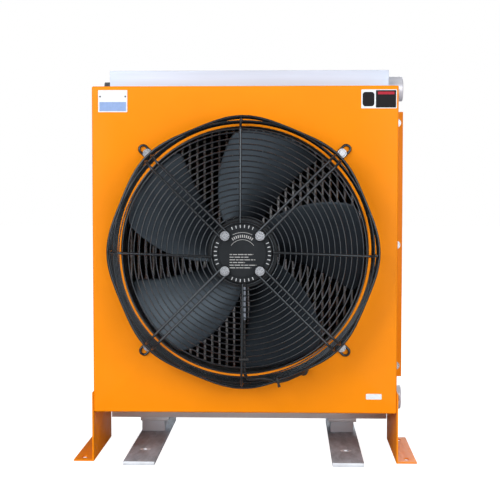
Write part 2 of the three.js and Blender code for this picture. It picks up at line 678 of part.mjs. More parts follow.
function buildMotor() {
  piece(fanGroup, "motor_end_plate", endPlateGeometry(), "black");
  piece(fanGroup, "stator_core", statorGeometry(), "steel");
  piece(fanGroup, "stator_winding", windingGeometry(), "copper");
  const ringInner = SHAFT.radius + GAP;
  const ringOuter = MOTOR.tubeInner - GAP;
  for (const [i, front] of BEARING.fronts.entries()) {
    const name = `bearing_${["front", "rear"][i]}`;
    piece(fanGroup, name, tube(ringInner, ringOuter, front, front + BEARING.width, 24), "steel");
  }
  piece(fanGroup, "rotor_shaft", disc(SHAFT.radius, SHAFT.front, SHAFT.rear, 24), "steel");
  piece(fanGroup, "rotor_bell", bellGeometry(), "black");
  for (let i = 0; i < BLADE.count; i += 1) {
    piece(fanGroup, `fan_blade_${i + 1}`, bladeGeometry((i * 360) / BLADE.count), "blade");
  }
}

// ---- Motor cable -----------------------------------------------------------------------------------

// Out of the end plate, down behind the bottom spoke, out under the rim ring and behind it to the gland.
function cableRoute() {
  const down = [58.7, 80, 110, 150, 190, 222].map((drop) => [CABLE.x, CABLE.face, drop]);
  const over = [[4.5, 107, 236], [9, 100, 246]];
  const along = [
    [-85.5, 250.6, 91.5],
    [-81.5, 252.5, 84.5],
    [-78, 258.5, 81.2],
    [-74.8, 265, 81.6],
    [-71.5, 268.3, 72],
    [-68.2, 269.8, 57],
    [-65.7, 271.5, 43.5],
    [-64, 272.4, 33.5],
    [GLAND.angle, GLAND.radius, 28.5],
    [GLAND.angle, GLAND.radius, GLAND.dome + GAP],
  ];
  return new THREE.CatmullRomCurve3([
    ...[...down, ...over].map(([x, front, drop]) => new THREE.Vector3(x, -front, -drop)),
    ...along.map(([angle, radius, front]) => onFan(angle, radius, front)),
  ]);
}

// A strap bent to a flat rectangle round [x0, x1] by [y0, y1], with its head on one side, centred on z = 0.
function tieGeometry([x0, x1], [y0, y1]) {
  const { strap, halfWidth, head, headHeight } = TIE;
  const outer = box([x0 - strap, x1 + strap], [y0 - strap, y1 + strap], [-halfWidth, halfWidth]);
  const headX = [x1 + strap / 2, x1 + strap + head];
  const lock = box(headX, [y0, y0 + headHeight], [-halfWidth - 0.7, halfWidth + 0.7]);
  return cut(join(outer, lock), box([x0, x1], [y0, y1], [-halfWidth - 1, halfWidth + 1]));
}

// A domed nut on a threaded body, with a hexagon at the panel. The cable ends at the dome.
function glandGeometry() {
  const { hexRadius, hex, bodyRadius, tipRadius, dome, holeRadius, thread } = GLAND;
  const bore = CABLE.radius + GAP;
  const shank = holeRadius - GAP;
  const body = turned([
    [bore, -dome], [tipRadius, -dome], [bodyRadius, 3 - dome], [bodyRadius, -GAP], [shank, -GAP], [shank, thread],
    [bore, thread],
  ], 24);
  const hexagon = disc(hexRadius, -hex - GAP, -GAP, 6);
  return join(body, cut(hexagon, disc(shank, -hex - 2, 1, SMALL_ROUND)));
}

function buildCable() {
  piece(fanGroup, "motor_cable", sweep(cableRoute(), CABLE.radius, 32, 8), "rubber");
  piece(fanGroup, "cable_gland", glandGeometry(), "rubber", glandPlace.toArray());
  const { ribRadius, face, rimFace, firstRing, ringPitch } = GUARD;
  const spokeReach = ribRadius + TIE.play;
  const cableReach = CABLE.radius + TIE.play;
  const bottomSpoke = SPOKES.find(({ angle }) => angle === 270);
  const spokeTie = tieGeometry(
    [bottomSpoke.outer - spokeReach, CABLE.x + cableReach],
    [-face - spokeReach, cableReach - CABLE.face],
  );
  const tieDrop = firstRing + 13.5 * ringPitch; // midway between two rings
  piece(fanGroup, "cable_tie_spoke", spokeTie, "rubber", [0, 0, -tieDrop]);
  const rimTie = tieGeometry([RIM_TIE.inner, RIM_TIE.outer], [-rimFace - spokeReach, -RIM_TIE.back]);
  piece(fanGroup, "cable_tie_rim", rimTie, "rubber").rotation.y = radians(-TIE.rimAngle);
}

// ---- Plates and labels -----------------------------------------------------------------------------

function plate({ left, right, bottom, top, thickness }) {
  return box([left, right], [-GAP - thickness, -GAP], [bottom, top]);
}

function nameplateGeometry() {
  const { left, right, thickness } = NAMEPLATE;
  const rivets = [left + 4, right - 4].map((x) =>
    disc(2, -GAP - thickness - 1, -GAP - 0.1, SMALL_ROUND).translate(x, 0, NAMEPLATE.rivets));
  return join(plate(NAMEPLATE), ...rivets);
}

function buildLabels() {
  piece(assembly, "nameplate", nameplateGeometry(), "label");
  piece(assembly, "upper_label", plate(UPPER_LABEL), "label");
  piece(assembly, "lower_label", plate(LOWER_LABEL), "label");
}

buildShroud();
buildCore();
buildFeet();
buildGuard();
buildMotor();
buildCable();
buildLabels();

export default cooler;
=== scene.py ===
"""Looks for the air-blast oil cooler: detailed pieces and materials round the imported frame.

Lengths are in metres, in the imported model's frame. Round the fan, a place is given as an angle
anticlockwise from the right as seen from the front, a radius from the fan's axis, and how far it
stands in front of the shroud's panel.
"""

from math import atan2, cos, hypot, pi, radians, sin

import bmesh
import bpy
from mathutils import Euler, Matrix, Vector


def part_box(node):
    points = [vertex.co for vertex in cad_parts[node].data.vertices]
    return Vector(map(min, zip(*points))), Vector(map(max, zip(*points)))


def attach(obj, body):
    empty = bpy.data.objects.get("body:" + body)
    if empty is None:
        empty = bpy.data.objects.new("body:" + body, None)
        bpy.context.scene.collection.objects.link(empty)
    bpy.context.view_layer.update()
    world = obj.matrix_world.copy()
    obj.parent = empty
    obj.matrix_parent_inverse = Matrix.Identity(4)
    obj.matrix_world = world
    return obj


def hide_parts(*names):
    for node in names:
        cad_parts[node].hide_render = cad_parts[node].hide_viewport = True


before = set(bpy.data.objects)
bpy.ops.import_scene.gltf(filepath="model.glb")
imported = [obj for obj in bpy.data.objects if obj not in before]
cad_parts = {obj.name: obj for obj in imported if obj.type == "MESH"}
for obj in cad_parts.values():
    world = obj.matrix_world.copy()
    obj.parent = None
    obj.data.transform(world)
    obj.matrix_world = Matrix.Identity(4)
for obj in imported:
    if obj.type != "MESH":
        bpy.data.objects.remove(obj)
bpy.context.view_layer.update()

MM = 0.001
DIAGONALS = (45, 135, 225, 315)
CORNERS = ("upper_right", "upper_left", "lower_left", "lower_right")

SHROUD_LOW, SHROUD_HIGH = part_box("fan_shroud")
COLLAR_LOW, COLLAR_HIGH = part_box("fan_collar")
CORE_LOW, CORE_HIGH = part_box("core_matrix")
_, TANK_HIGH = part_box("top_tank")
BELL_LOW, BELL_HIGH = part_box("rotor_bell")
PLATE_LOW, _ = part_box("motor_end_plate")

PANEL_Y = SHROUD_LOW.y
FAN = Vector((0, PANEL_Y, (COLLAR_LOW.z + COLLAR_HIGH.z) / 2))
HALF_WIDTH = TANK_HIGH.x
MOUTH_RADIUS = 250 * MM
BELL_RADIUS = BELL_HIGH.x
PLATE_FACE = PANEL_Y - PLATE_LOW.y  # how far the end plate's front stands before the panel

SHEET = 3 * MM  # the shroud's steel
GAP = 0.3 * MM  # between two pieces that touch on the real cooler
GUARD_FACE = 118 * MM
RIB = 2.5 * MM
RING = 1.3 * MM
LOOP_HALF = 8 * MM
MOTOR_BOLT_RADIUS = 48.4 * MM
GUARD_BOLT_RADIUS = 279.5 * MM


# ---- Camera, light and floor -------------------------

WALL_LIGHT = 0.15
FLOOR_LIGHT = 0.0
FLOOR_HALF = 15
FLOOR_DROP = 0.5 * MM
CAMERA_PLACE = (0.0916, PANEL_Y - 2.5733, 0.5683)
CAMERA_DOWN, CAMERA_LEFT = 3.242, 2.233  # in degrees, from a level view along +Y


def make_camera():
    """The view from the front, from a little above and to the right."""
    data = bpy.data.cameras.new("camera")
    data.sensor_width = 36
    data.lens = 91.0
    data.shift_x = 0.0196
    data.shift_y = 0.0153
    camera = bpy.data.objects.new("camera", data)
    camera.location = CAMERA_PLACE
    camera.rotation_euler = Euler((radians(90 - CAMERA_DOWN), 0, radians(CAMERA_LEFT)))
    bpy.context.scene.collection.objects.link(camera)
    bpy.context.scene.camera = camera


def make_area_light(name, place, aim, size, power):
    """A square white light, size metres across and power watts strong, that faces aim."""
    data = bpy.data.lights.new(name, "AREA")
    data.shape = "SQUARE"
    data.size = size
    data.energy = power
    light = bpy.data.objects.new(name, data)
    light.location = place
    light.rotation_euler = (Vector(aim) - Vector(place)).to_track_quat("-Z", "Y").to_euler()
    bpy.context.scene.collection.objects.link(light)


def camera_white(tree, otherwise):
    """1 where the camera looks straight at a backdrop, and otherwise the light that it gives."""
    path = tree.nodes.new("ShaderNodeLightPath")
    spread = tree.nodes.new("ShaderNodeMapRange")
    spread.inputs["To Min"].default_value = otherwise
    spread.inputs["To Max"].default_value = 1
    tree.links.new(path.outputs["Is Camera Ray"], spread.inputs["Value"])
    return spread.outputs["Result"]


def make_world():
    """A white studio wall, which lights the object less than it shines in the view."""
    world = bpy.data.worlds.new("studio")
    bpy.context.scene.world = world
    world.use_nodes = True
    tree = world.node_tree
    tree.links.new(camera_white(tree, WALL_LIGHT), tree.nodes["Background"].inputs["Strength"])
    tree.nodes["Background"].inputs["Color"].default_value = (1, 1, 1, 1)


def make_stage():
    """The floor, and four soft lights: two from the front, one from behind and one from above."""
    mesh = bpy.data.meshes.new("floor")
    corners = [(x * FLOOR_HALF, y * FLOOR_HALF, 0) for x, y in ((-1, -1), (1, -1), (1, 1), (-1, 1))]
    mesh.from_pydata(corners, [], [(0, 1, 2, 3)])
    floor = bpy.data.objects.new("floor", mesh)
    floor.location.z = -FLOOR_DROP
    bpy.context.scene.collection.objects.link(floor)
    mesh.materials.append(floor_material())
    make_area_light("key", (-1.8, -2.8, 1.6), aim=(0, 0, 0.45), size=2.0, power=81)
    make_area_light("fill", (1.7, -3.1, 0.7), aim=(0.1, 0, 0.2), size=3.0, power=98)
    make_area_light("back", (1.4, 3.2, 1.9), aim=(0, 0, 0.4), size=2.4, power=50)
    make_area_light("top", (0, 0.2, 3.2), aim=(0, 0, 0.4), size=2.4, power=10)


# ---- Materials ---------------------------------------

NOISE_LOW, NOISE_HIGH = 0.3, 0.7  # most of the noise lies between these


class Shader:
    """A Principled material and the nodes that feed it."""

    def __init__(self, name, colour, roughness, metallic=0.0, specular=0.5):
        self.material = bpy.data.materials.new(name)
        self.material.use_nodes = True
        self.tree = self.material.node_tree
        self.principled = self.tree.nodes["Principled BSDF"]
        self.set("Base Color", (*colour, 1))
        self.set("Roughness", roughness)
        self.set("Metallic", metallic)
        self.set("Specular IOR Level", specular)
        self.material.diffuse_color = (*colour, 1)

    def set(self, socket, value):
        self.principled.inputs[socket].default_value = value

    def node(self, kind, **values):
        made = self.tree.nodes.new("ShaderNode" + kind)
        for key, value in values.items():
            made.inputs[key.replace("_", " ")].default_value = value
        return made

    def link(self, source, target):
        self.tree.links.new(source, target)

    def place(self, scale):
        """Object coordinates, stretched by scale."""
        coordinates = self.node("TexCoord")
        mapping = self.node("Mapping")
        mapping.inputs["Scale"].default_value = scale
        self.link(coordinates.outputs["Object"], mapping.inputs["Vector"])
        return mapping.outputs["Vector"]

    def noise(self, size, stretch=(1, 1, 1), detail=3.0):
        """Noise with spots about size metres across. A stretch above 1 narrows them that way."""
        texture = self.node("TexNoise", Scale=1 / size, Detail=detail, Roughness=0.6)
        self.link(self.place(stretch), texture.inputs["Vector"])
        return texture.outputs["Fac"]

    def ramp(self, factor, stops):
        """factor turned into a colour by (place, colour) stops."""
        ramp = self.tree.nodes.new("ShaderNodeValToRGB")
        while len(ramp.color_ramp.elements) < len(stops):
            ramp.color_ramp.elements.new(0.5)
        for element, (place, colour) in zip(ramp.color_ramp.elements, stops):
            element.position = place
            element.color = (*colour, 1)
        self.link(factor, ramp.inputs["Fac"])
        return ramp.outputs["Color"]

    def mottle(self, factor, low, high):
        """The base colour varies between low and high."""
        colour = self.ramp(factor, [(NOISE_LOW, low), (NOISE_HIGH, high)])
        self.link(colour, self.principled.inputs["Base Color"])

    def vary_roughness(self, factor, low, high):
        """The roughness varies between low and high."""
        spread = self.node("MapRange", From_Min=NOISE_LOW, From_Max=NOISE_HIGH)
        spread.inputs["To Min"].default_value = low
        spread.inputs["To Max"].default_value = high
        self.link(factor, spread.inputs["Value"])
        self.link(spread.outputs["Result"], self.principled.inputs["Roughness"])

    def bump(self, factor, depth, strength):
        """The surface rises and falls by depth metres."""
        bump = self.node("Bump", Strength=strength, Distance=depth)
        self.link(factor, bump.inputs["Height"])
        self.link(bump.outputs["Normal"], self.principled.inputs["Normal"])


def tinted(colour, amount):
    """The colour made amount times as bright."""
    return tuple(min(1.0, c * amount) for c in colour)


def floor_material():
    """Grey paper that looks white to the camera, so that it fades into the white wall behind."""
    colour = (0.45, 0.45, 0.46)
    shader = Shader("floor_white", colour, roughness=0.9, specular=0.1)
    shader.set("Emission Color", (1, 1, 1, 1))
    strength = camera_white(shader.tree, FLOOR_LIGHT)
    shader.link(strength, shader.principled.inputs["Emission Strength"])
    shader.mottle(shader.noise(0.4), tinted(colour, 0.98), tinted(colour, 1.02))
    return shader.material


def paint_material():
    """Powder coat: even colour with a faint orange-peel surface."""
    colour = (0.93, 0.27, 0.002)
    shader = Shader("paint_orange", colour, roughness=0.4, specular=0.12)
    shader.mottle(shader.noise(0.16), tinted(colour, 0.97), tinted(colour, 1.04))
    shader.vary_roughness(shader.noise(0.02), 0.36, 0.46)
    shader.bump(shader.noise(0.0035, detail=1.0), 0.00006, 0.5)
    return shader.material


def aluminium(name, colour, stretch, roughness=0.4, metallic=0.3):
    """Milled aluminium with fine streaks along one direction."""
    shader = Shader(f"{name}_aluminium", colour, roughness, metallic=metallic)
    streaks = shader.noise(0.012, stretch, detail=5.0)
    shader.mottle(shader.noise(0.07, stretch), tinted(colour, 0.92), tinted(colour, 1.05))
    shader.vary_roughness(streaks, roughness - 0.07, roughness + 0.1)
    shader.bump(streaks, 0.00005, 0.6)
    return shader.material


def bar_material():
    """Flat bar: dull grey, scuffed along its length."""
    colour = (0.40, 0.44, 0.50)
    shader = Shader("bar_aluminium", colour, roughness=0.5, metallic=0.3)
    scuffs = shader.noise(0.01, (8, 0.8, 8), detail=6.0)
    shader.mottle(shader.noise(0.03, (2, 0.6, 2)), tinted(colour, 0.8), tinted(colour, 1.3))
    shader.vary_roughness(scuffs, 0.42, 0.65)
    shader.bump(scuffs, 0.0001, 0.7)
    return shader.material


def zinc_material(name="zinc_plate", colour=(0.52, 0.54, 0.58), metallic=0.85):
    """Zinc plate: smooth, with a fine grain."""
    shader = Shader(name, colour, roughness=0.24, metallic=metallic)
    shader.mottle(shader.noise(0.004), tinted(colour, 0.93), tinted(colour, 1.04))
    shader.vary_roughness(shader.noise(0.002), 0.22, 0.34)
    shader.bump(shader.noise(0.0015), 0.00002, 0.4)
    return shader.material


def black_material(
    name, colour=(0.006, 0.0065, 0.0075), roughness=0.2, specular=0.75, grain=0.003
):
    """Black coat over wire, castings and sheet, with a faint blue gloss."""
    shader = Shader(name, colour, roughness, specular=specular)
    shader.set("Specular Tint", (0.8, 0.9, 1, 1))
    shader.mottle(shader.noise(0.03), tinted(colour, 0.8), tinted(colour, 1.4))
    shader.vary_roughness(shader.noise(grain * 4), roughness - 0.06, roughness + 0.08)
    shader.bump(shader.noise(grain), 0.00008, 0.6)
    return shader.material


def blade_material():
    """Dark slate coat on pressed blades, with an uneven, dusty tone."""
    colour = (0.004, 0.005, 0.007)
    shader = Shader("blade_slate", colour, roughness=0.36, specular=0.5)
    shader.set("Specular Tint", (0.68, 0.84, 1, 1))
    shader.mottle(shader.noise(0.05, detail=6.0), tinted(colour, 0.75), tinted(colour, 1.5))
    shader.vary_roughness(shader.noise(0.015, detail=6.0), 0.32, 0.40)
    shader.bump(shader.noise(0.002), 0.00005, 0.5)
    return shader.material


def painted_shade_fin_material():
    """Thin folded fins between the tubes, near black: painted shade for the deep passages between
    the tubes.
    """
    colour = (0.018, 0.018, 0.020)
    shader = Shader("fin_painted_shade", colour, roughness=0.55, metallic=0.2)
    shader.mottle(shader.noise(0.02, (1, 1, 3)), tinted(colour, 0.6), tinted(colour, 1.6))
    shader.vary_roughness(shader.noise(0.004), 0.42, 0.62)
    shader.bump(shader.noise(0.0015, (1, 1, 6)), 0.0001, 0.5)
    return shader.material


def rubber_material(name="rubber_black", colour=(0.014, 0.014, 0.015), roughness=0.5):
    """Matt sheath or nylon with a fine grain."""
    shader = Shader(name, colour, roughness, specular=0.4)
    shader.mottle(shader.noise(0.01), tinted(colour, 0.8), tinted(colour, 1.4))
    shader.vary_roughness(shader.noise(0.003), roughness - 0.06, roughness + 0.1)
    shader.bump(shader.noise(0.0008), 0.00005, 0.5)
    return shader.material


def label_material(name, colour):
    """Printed film with a faint paper-like mottle."""
    shader = Shader(name, colour, roughness=0.45, specular=0.15)
    shader.mottle(shader.noise(0.006), tinted(colour, 0.94), tinted(colour, 1.05))
    shader.bump(shader.noise(0.002), 0.00002, 0.4)
    return shader.material


def laminated_material():
    """Thin steel sheets stacked along the shaft."""
    colour = (0.38, 0.38, 0.40)
    shader = Shader("laminated_steel", colour, roughness=0.4, metallic=0.9)
    shader.mottle(shader.noise(0.02, (1, 40, 1)), tinted(colour, 0.7), tinted(colour, 1.3))
    shader.bump(shader.noise(0.02, (1, 60, 1)), 0.0002, 0.8)
    return shader.material


def copper_material():
    """Turns of enamelled wire."""
    colour = (0.50, 0.17, 0.06)
    shader = Shader("copper_wire", colour, roughness=0.35, metallic=0.8)
    shader.mottle(shader.noise(0.004, (1, 6, 1)), tinted(colour, 0.6), tinted(colour, 1.4))
    shader.bump(shader.noise(0.003, (1, 8, 1)), 0.0003, 0.8)
    return shader.material


PAINT = paint_material()
TANK_METAL = aluminium("tank", (0.62, 0.71, 0.86), (0.15, 3, 3), roughness=0.5, metallic=0.1)
# The lower tank's aluminium is paler than the top tank's: painted light, which makes up for the
# shade that the shroud casts on its front.
LOWER_TANK_PAINTED_LIGHT = aluminium("lower_tank_painted_light", (0.88, 0.90, 0.95), (0.15, 3, 3), roughness=0.45)
PORT_METAL = aluminium("port", (0.74, 0.75, 0.82), (1.5, 0.4, 0.4), roughness=0.36, metallic=0.4)
BRACKET_METAL = aluminium("bracket", (0.66, 0.68, 0.72), (3, 3, 0.2))
TUBE_METAL = aluminium("tube", (0.72, 0.73, 0.76), (3, 3, 0.1), roughness=0.45)
BLOCK_METAL = aluminium("block", (0.60, 0.64, 0.71), (0.3, 3, 3), roughness=0.5)
SAWN_METAL = aluminium("sawn", (0.80, 0.84, 0.90), (3, 1, 1), roughness=0.45)
BAR = bar_material()
ZINC = zinc_material()
DARK_ZINC = zinc_material("plug_dark", (0.16, 0.165, 0.18), metallic=0.6)
WIRE_BLACK = black_material("wire_black")
CAST_BLACK = black_material(
    "cast_black", (0.008, 0.0085, 0.0095), roughness=0.5, specular=0.25, grain=0.0015
)
BELL_BLACK = black_material("bell_black", (0.008, 0.0085, 0.009), roughness=0.35, specular=0.5)
BLADE = blade_material()
# The fins' near-black colour is painted shade for the deep gaps between the tubes.
FIN_PAINTED_SHADE = painted_shade_fin_material()
RUBBER = rubber_material()
SLEEVE = rubber_material("sleeve_grey", (0.22, 0.25, 0.30), 0.4)
WHITE_LABEL = label_material("label_white", (0.80, 0.84, 0.88))
BLUE_LABEL = label_material("label_blue", (0.28, 0.40, 0.68))
DARK_LABEL = label_material("label_dark", (0.008, 0.007, 0.009))
RED_LABEL = label_material("label_red", (0.42, 0.02, 0.04))
PALE_MARK = label_material("mark_pale", (0.42, 0.42, 0.42))
PALE_TICK = label_material("tick_pale", (0.50, 0.52, 0.54))
LAMINATED = laminated_material()
COPPER = copper_material()


# ---- Mesh tools --------------------------------------


def on_fan(angle, radius, face):
    """The place round the fan at this angle, radius and distance in front of the panel."""
    return FAN + Vector((radius * cos(radians(angle)), -face, radius * sin(radians(angle))))


def add_piece(obj, body, replaces):
    """Puts a piece in the scene, on its body and in place of its CAD nodes."""
    bpy.context.scene.collection.objects.link(obj)
    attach(obj, body)
    if replaces:
        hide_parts(*replaces)


def mesh_piece(name, bm, material, body="cooler", replaces=(), sharp=35):
    """A piece made of bm, smooth where its faces meet at less than sharp degrees."""
    bmesh.ops.recalc_face_normals(bm, faces=bm.faces)
    for edge in bm.edges:
        edge.smooth = len(edge.link_faces) == 2 and edge.calc_face_angle(0) < radians(sharp)
    for face in bm.faces:
        face.smooth = True
    mesh = bpy.data.meshes.new(name)
    bm.to_mesh(mesh)
    bm.free()
    for one in material if isinstance(material, (list, tuple)) else [material]:
        mesh.materials.append(one)
    add_piece(bpy.data.objects.new(name, mesh), body, replaces)


def round_edges(bm, radius, segments=2, sharper_than=30):
    """Rounds the edges whose faces meet at more than sharper_than degrees."""
    limit = radians(sharper_than)
    edges = [e for e in bm.edges if len(e.link_faces) == 2 and e.calc_face_angle(0) > limit]
    bmesh.ops.bevel(
        bm, geom=edges, offset=radius, segments=segments, profile=0.5,
        affect="EDGES", clamp_overlap=True,
    )
    return bm


def add_box(bm, low, high, radius, segments=2):
    """Adds a box from low to high, with its edges rounded, to bm."""
    part = bmesh.new()
    bmesh.ops.create_cube(part, size=1)
    middle = (Vector(low) + Vector(high)) / 2
    size = Vector(high) - Vector(low)
    for vert in part.verts:
        vert.co = middle + Vector(a * b for a, b in zip(vert.co, size))
    merge(bm, round_edges(part, radius, segments))


def merge(bm, part, matrix=Matrix.Identity(4), material=None):
    """Adds part, moved by matrix, to bm, and frees it."""
    part.transform(matrix)
    if material is not None:
        for face in part.faces:
            face.material_index = material
    mesh = bpy.data.meshes.new("part")
    part.to_mesh(mesh)
    part.free()
    bm.from_mesh(mesh)
    bpy.data.meshes.remove(mesh)


def turned(profile, segments):
    """A body turned about the Y axis. The profile is a closed list of (radius, y) corners."""
    bm = bmesh.new()
    rings = []
    turns = [i * (2 * pi / segments) for i in range(segments)]
    for radius, y in profile:
        if radius < 1e-6:
            rings.append([bm.verts.new((0, y, 0))])
        else:
            rings.append([bm.verts.new((radius * cos(t), y, radius * sin(t))) for t in turns])
    for a, b in zip(rings, rings[1:] + rings[:1]):
        if len(a) == 1 and len(b) == 1:
            continue
        for i in range(segments):
            j = (i + 1) % segments
            corners = [a[i % len(a)], a[j % len(a)], b[j % len(b)], b[i % len(b)]]
            bm.faces.new(list(dict.fromkeys(corners)))
    return bm


def in_mm(profile):
    """Corners given in millimetres, in metres."""
    return [(radius * MM, y * MM) for radius, y in profile]


def from_node(node):
    """A copy of a CAD node's mesh with its flat faces whole again."""
    bm = bmesh.new()
    bm.from_mesh(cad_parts[node].data)
    bmesh.ops.remove_doubles(bm, verts=bm.verts, dist=0.00005)
    bmesh.ops.dissolve_limit(bm, angle_limit=radians(1), verts=bm.verts, edges=bm.edges)
    return bm


def soften(node, material, radius, segments=2):
    """A CAD node's own shape with rounded edges."""
    bm = round_edges(from_node(node), radius, segments)
    mesh_piece(f"soft_{node}", bm, material, replaces=[node])


def wire_piece(name, paths, material, replaces=()):
    """Round wires in one piece. A path is (points, radius, closed)."""
    curve = bpy.data.curves.new(name, "CURVE")
    curve.dimensions = "3D"
    curve.bevel_depth = MM
    curve.bevel_resolution = 2
    curve.use_fill_caps = True
    for points, radius, closed in paths:
        spline = curve.splines.new("POLY")
        spline.points.add(len(points) - 1)
        for target, point in zip(spline.points, points):
            target.co = (*point, 1)
            target.radius = radius / MM
        spline.use_cyclic_u = closed
    curve.materials.append(material)
    add_piece(bpy.data.objects.new(name, curve), "cooler", replaces)


def arc(centre, radius, start, end, steps):
    """Points of a circular arc in a plane, as (x, y) pairs."""
    turns = [radians(start + (end - start) * i / steps) for i in range(steps + 1)]
    return [(centre[0] + radius * cos(t), centre[1] + radius * sin(t)) for t in turns]


# ---- Shroud ------------------------------------------

OPENING_RADIUS = 252.9 * MM
FOLD_RADIUS = 3.2 * MM
FLANGE_LOW, FLANGE_HIGH = 0.141, 0.733


def square_outline(angle, half_width, half_height):
    """Where a ray from the middle at this angle leaves a rectangle."""
    x, z = cos(angle), sin(angle)
    reach = min(half_width / max(abs(x), 1e-9), half_height / max(abs(z), 1e-9))
    return x * reach, z * reach


def shroud_shell(half_height, hole):
    """The folded box: a front sheet with a round hole, and four sides."""
    count = 192
    bm = bmesh.new()
    corner = atan2(half_height, HALF_WIDTH)
    angles = [2 * pi * i / count for i in range(count)]
    for target in (corner, pi - corner, pi + corner, 2 * pi - corner):
        nearest = min(range(count), key=lambda i: abs(angles[i] - target))
        angles[nearest] = target
    outline = [square_outline(a, HALF_WIDTH, half_height) for a in angles]
    inner = [bm.verts.new((hole * cos(a), PANEL_Y, FAN.z + hole * sin(a))) for a in angles]
    front = [bm.verts.new((x, PANEL_Y, FAN.z + z)) for x, z in outline]
    back = [bm.verts.new((x, SHROUD_HIGH.y, FAN.z + z)) for x, z in outline]
    for i in range(count):
        j = (i + 1) % count
        bm.faces.new([inner[i], front[i], front[j], inner[j]])
        bm.faces.new([front[i], back[i], back[j], front[j]])
    bmesh.ops.recalc_face_normals(bm, faces=bm.faces)
    if bm.faces[0].normal.y > 0:
        bmesh.ops.reverse_faces(bm, faces=bm.faces)
    return bm


def thicken(bm, thickness):
    """A sheet turned into a solid that grows against its normals."""
    mesh = bpy.data.meshes.new("sheet")
    bm.to_mesh(mesh)
    bm.free()
    obj = bpy.data.objects.new("sheet", mesh)
    bpy.context.scene.collection.objects.link(obj)
    modifier = obj.modifiers.new("thickness", "SOLIDIFY")
    modifier.thickness = thickness
    modifier.offset = -1
    modifier.use_even_offset = True
    made = bmesh.new()
    made.from_mesh(obj.evaluated_get(bpy.context.evaluated_depsgraph_get()).data)
    bpy.data.objects.remove(obj)
    bpy.data.meshes.remove(mesh)
    return made


def build_shroud():
    """The folded box, with a rear flange on each side."""
    half_height = (SHROUD_HIGH.z - SHROUD_LOW.z) / 2
    folded = round_edges(shroud_shell(half_height, OPENING_RADIUS), FOLD_RADIUS, 4, sharper_than=40)
    bm = round_edges(thicken(folded, SHEET), 0.7 * MM, 2, sharper_than=60)
    for side in (-1, 1):
        inner, outer = sorted([side * (HALF_WIDTH - 2 * MM), side * SHROUD_HIGH.x])
        low = (inner, SHROUD_HIGH.y - SHEET, FLANGE_LOW)
        add_box(bm, low, (outer, SHROUD_HIGH.y, FLANGE_HIGH), 0.8 * MM)
    mesh_piece("shroud_sheet", bm, PAINT, replaces=["fan_shroud"])
    build_collar()
    build_weld_nuts()


def build_collar():
    """The rolled mouth ring, with a rounded front lip."""
    inner, outer = MOUTH_RADIUS, MOUTH_RADIUS + 2.5 * MM
    middle, half = (inner + outer) / 2, (outer - inner) / 2
    depth = COLLAR_HIGH.y - COLLAR_LOW.y
    lip = arc((middle, half), half, 180, 360, 6)
    back = [(outer, depth), (inner, depth)]
    bm = turned(lip + back, 192)
    bm.transform(Matrix.Translation(FAN))
    mesh_piece("collar_ring", bm, BELL_BLACK, replaces=["fan_collar"])


def build_weld_nuts():
    """The hexagon nuts behind the panel, one for each guard bolt."""
    bm = bmesh.new()
    for angle in DIAGONALS:
        nut = turned(in_mm([(4.4, 0), (7.2, 0), (7.2, 6), (4.4, 6)]), 6)
        merge(bm, nut, Matrix.Translation(on_fan(angle, GUARD_BOLT_RADIUS, -SHEET)))
    mesh_piece("weld_nuts", bm, PAINT)


# ---- Core --------------------------------------------

TUBE_PITCH = 16.6 * MM
TUBE_HALF = 2.5 * MM
TUBE_COUNT = 37


def tube_places():
    """Where the middle of each tube stands across the core."""
    return [(i - (TUBE_COUNT - 1) / 2) * TUBE_PITCH for i in range(TUBE_COUNT)]


def build_tubes():
    """Flat tubes with rounded noses, upright from tank to tank."""
    bm = bmesh.new()
    section = arc((0, CORE_HIGH.y - TUBE_HALF), TUBE_HALF, 0, 180, 8)
    section += arc((0, CORE_LOW.y + TUBE_HALF), TUBE_HALF, 180, 360, 8)
    count = len(section)
    for x in tube_places():
        low = [bm.verts.new((x + a, b, CORE_LOW.z)) for a, b in section]
        high = [bm.verts.new((x + a, b, CORE_HIGH.z)) for a, b in section]
        for i in range(count):
            j = (i + 1) % count
            bm.faces.new([low[i], low[j], high[j], high[i]])
        bm.faces.new(low)
        bm.faces.new(high)
    mesh_piece("core_tubes", bm, TUBE_METAL, replaces=["core_matrix"])


def build_fins():
    """Folded fins: one zigzag strip in each gap between two tubes."""
    bm = bmesh.new()
    fold = 4.2 * MM
    recess = 3 * MM
    front, rear = CORE_LOW.y + recess, CORE_HIGH.y - recess
    folds = int((CORE_HIGH.z - CORE_LOW.z) / fold)
    for x in tube_places()[:-1]:
        left, right = x + TUBE_HALF, x + TUBE_PITCH - TUBE_HALF
        last = None
        for i in range(folds + 1):
            z = CORE_LOW.z + i * fold
            side = left if i % 2 else right
            edge = [bm.verts.new((side, front, z)), bm.verts.new((side, rear, z))]
            if last:
                bm.faces.new([last[0], last[1], edge[1], edge[0]])
            last = edge
    mesh_piece("core_fins", bm, FIN_PAINTED_SHADE, sharp=10)
    build_louvres()


def build_louvres():
    """The slanted slats cut from the fins, which close the straight view through the core."""
    bm = bmesh.new()
    middle = (CORE_LOW.y + CORE_HIGH.y) / 2
    pitch, reach, lift = 8 * MM, 7 * MM, 9 * MM
    slats = int((CORE_HIGH.z - CORE_LOW.z - lift) / pitch)
    for i in range(slats + 1):
        z = CORE_LOW.z + i * pitch
        for side in (-1, 1):
            y = middle + side * 30 * MM
            low = [(x, y - reach, z) for x in (CORE_LOW.x, CORE_HIGH.x)]
            high = [(x, y + reach, z + lift) for x in (CORE_HIGH.x, CORE_LOW.x)]
            bm.faces.new([bm.verts.new(corner) for corner in low + high])
    # The louvres take the same near-black painted shade as the fins.
    mesh_piece("core_louvres", bm, FIN_PAINTED_SHADE)


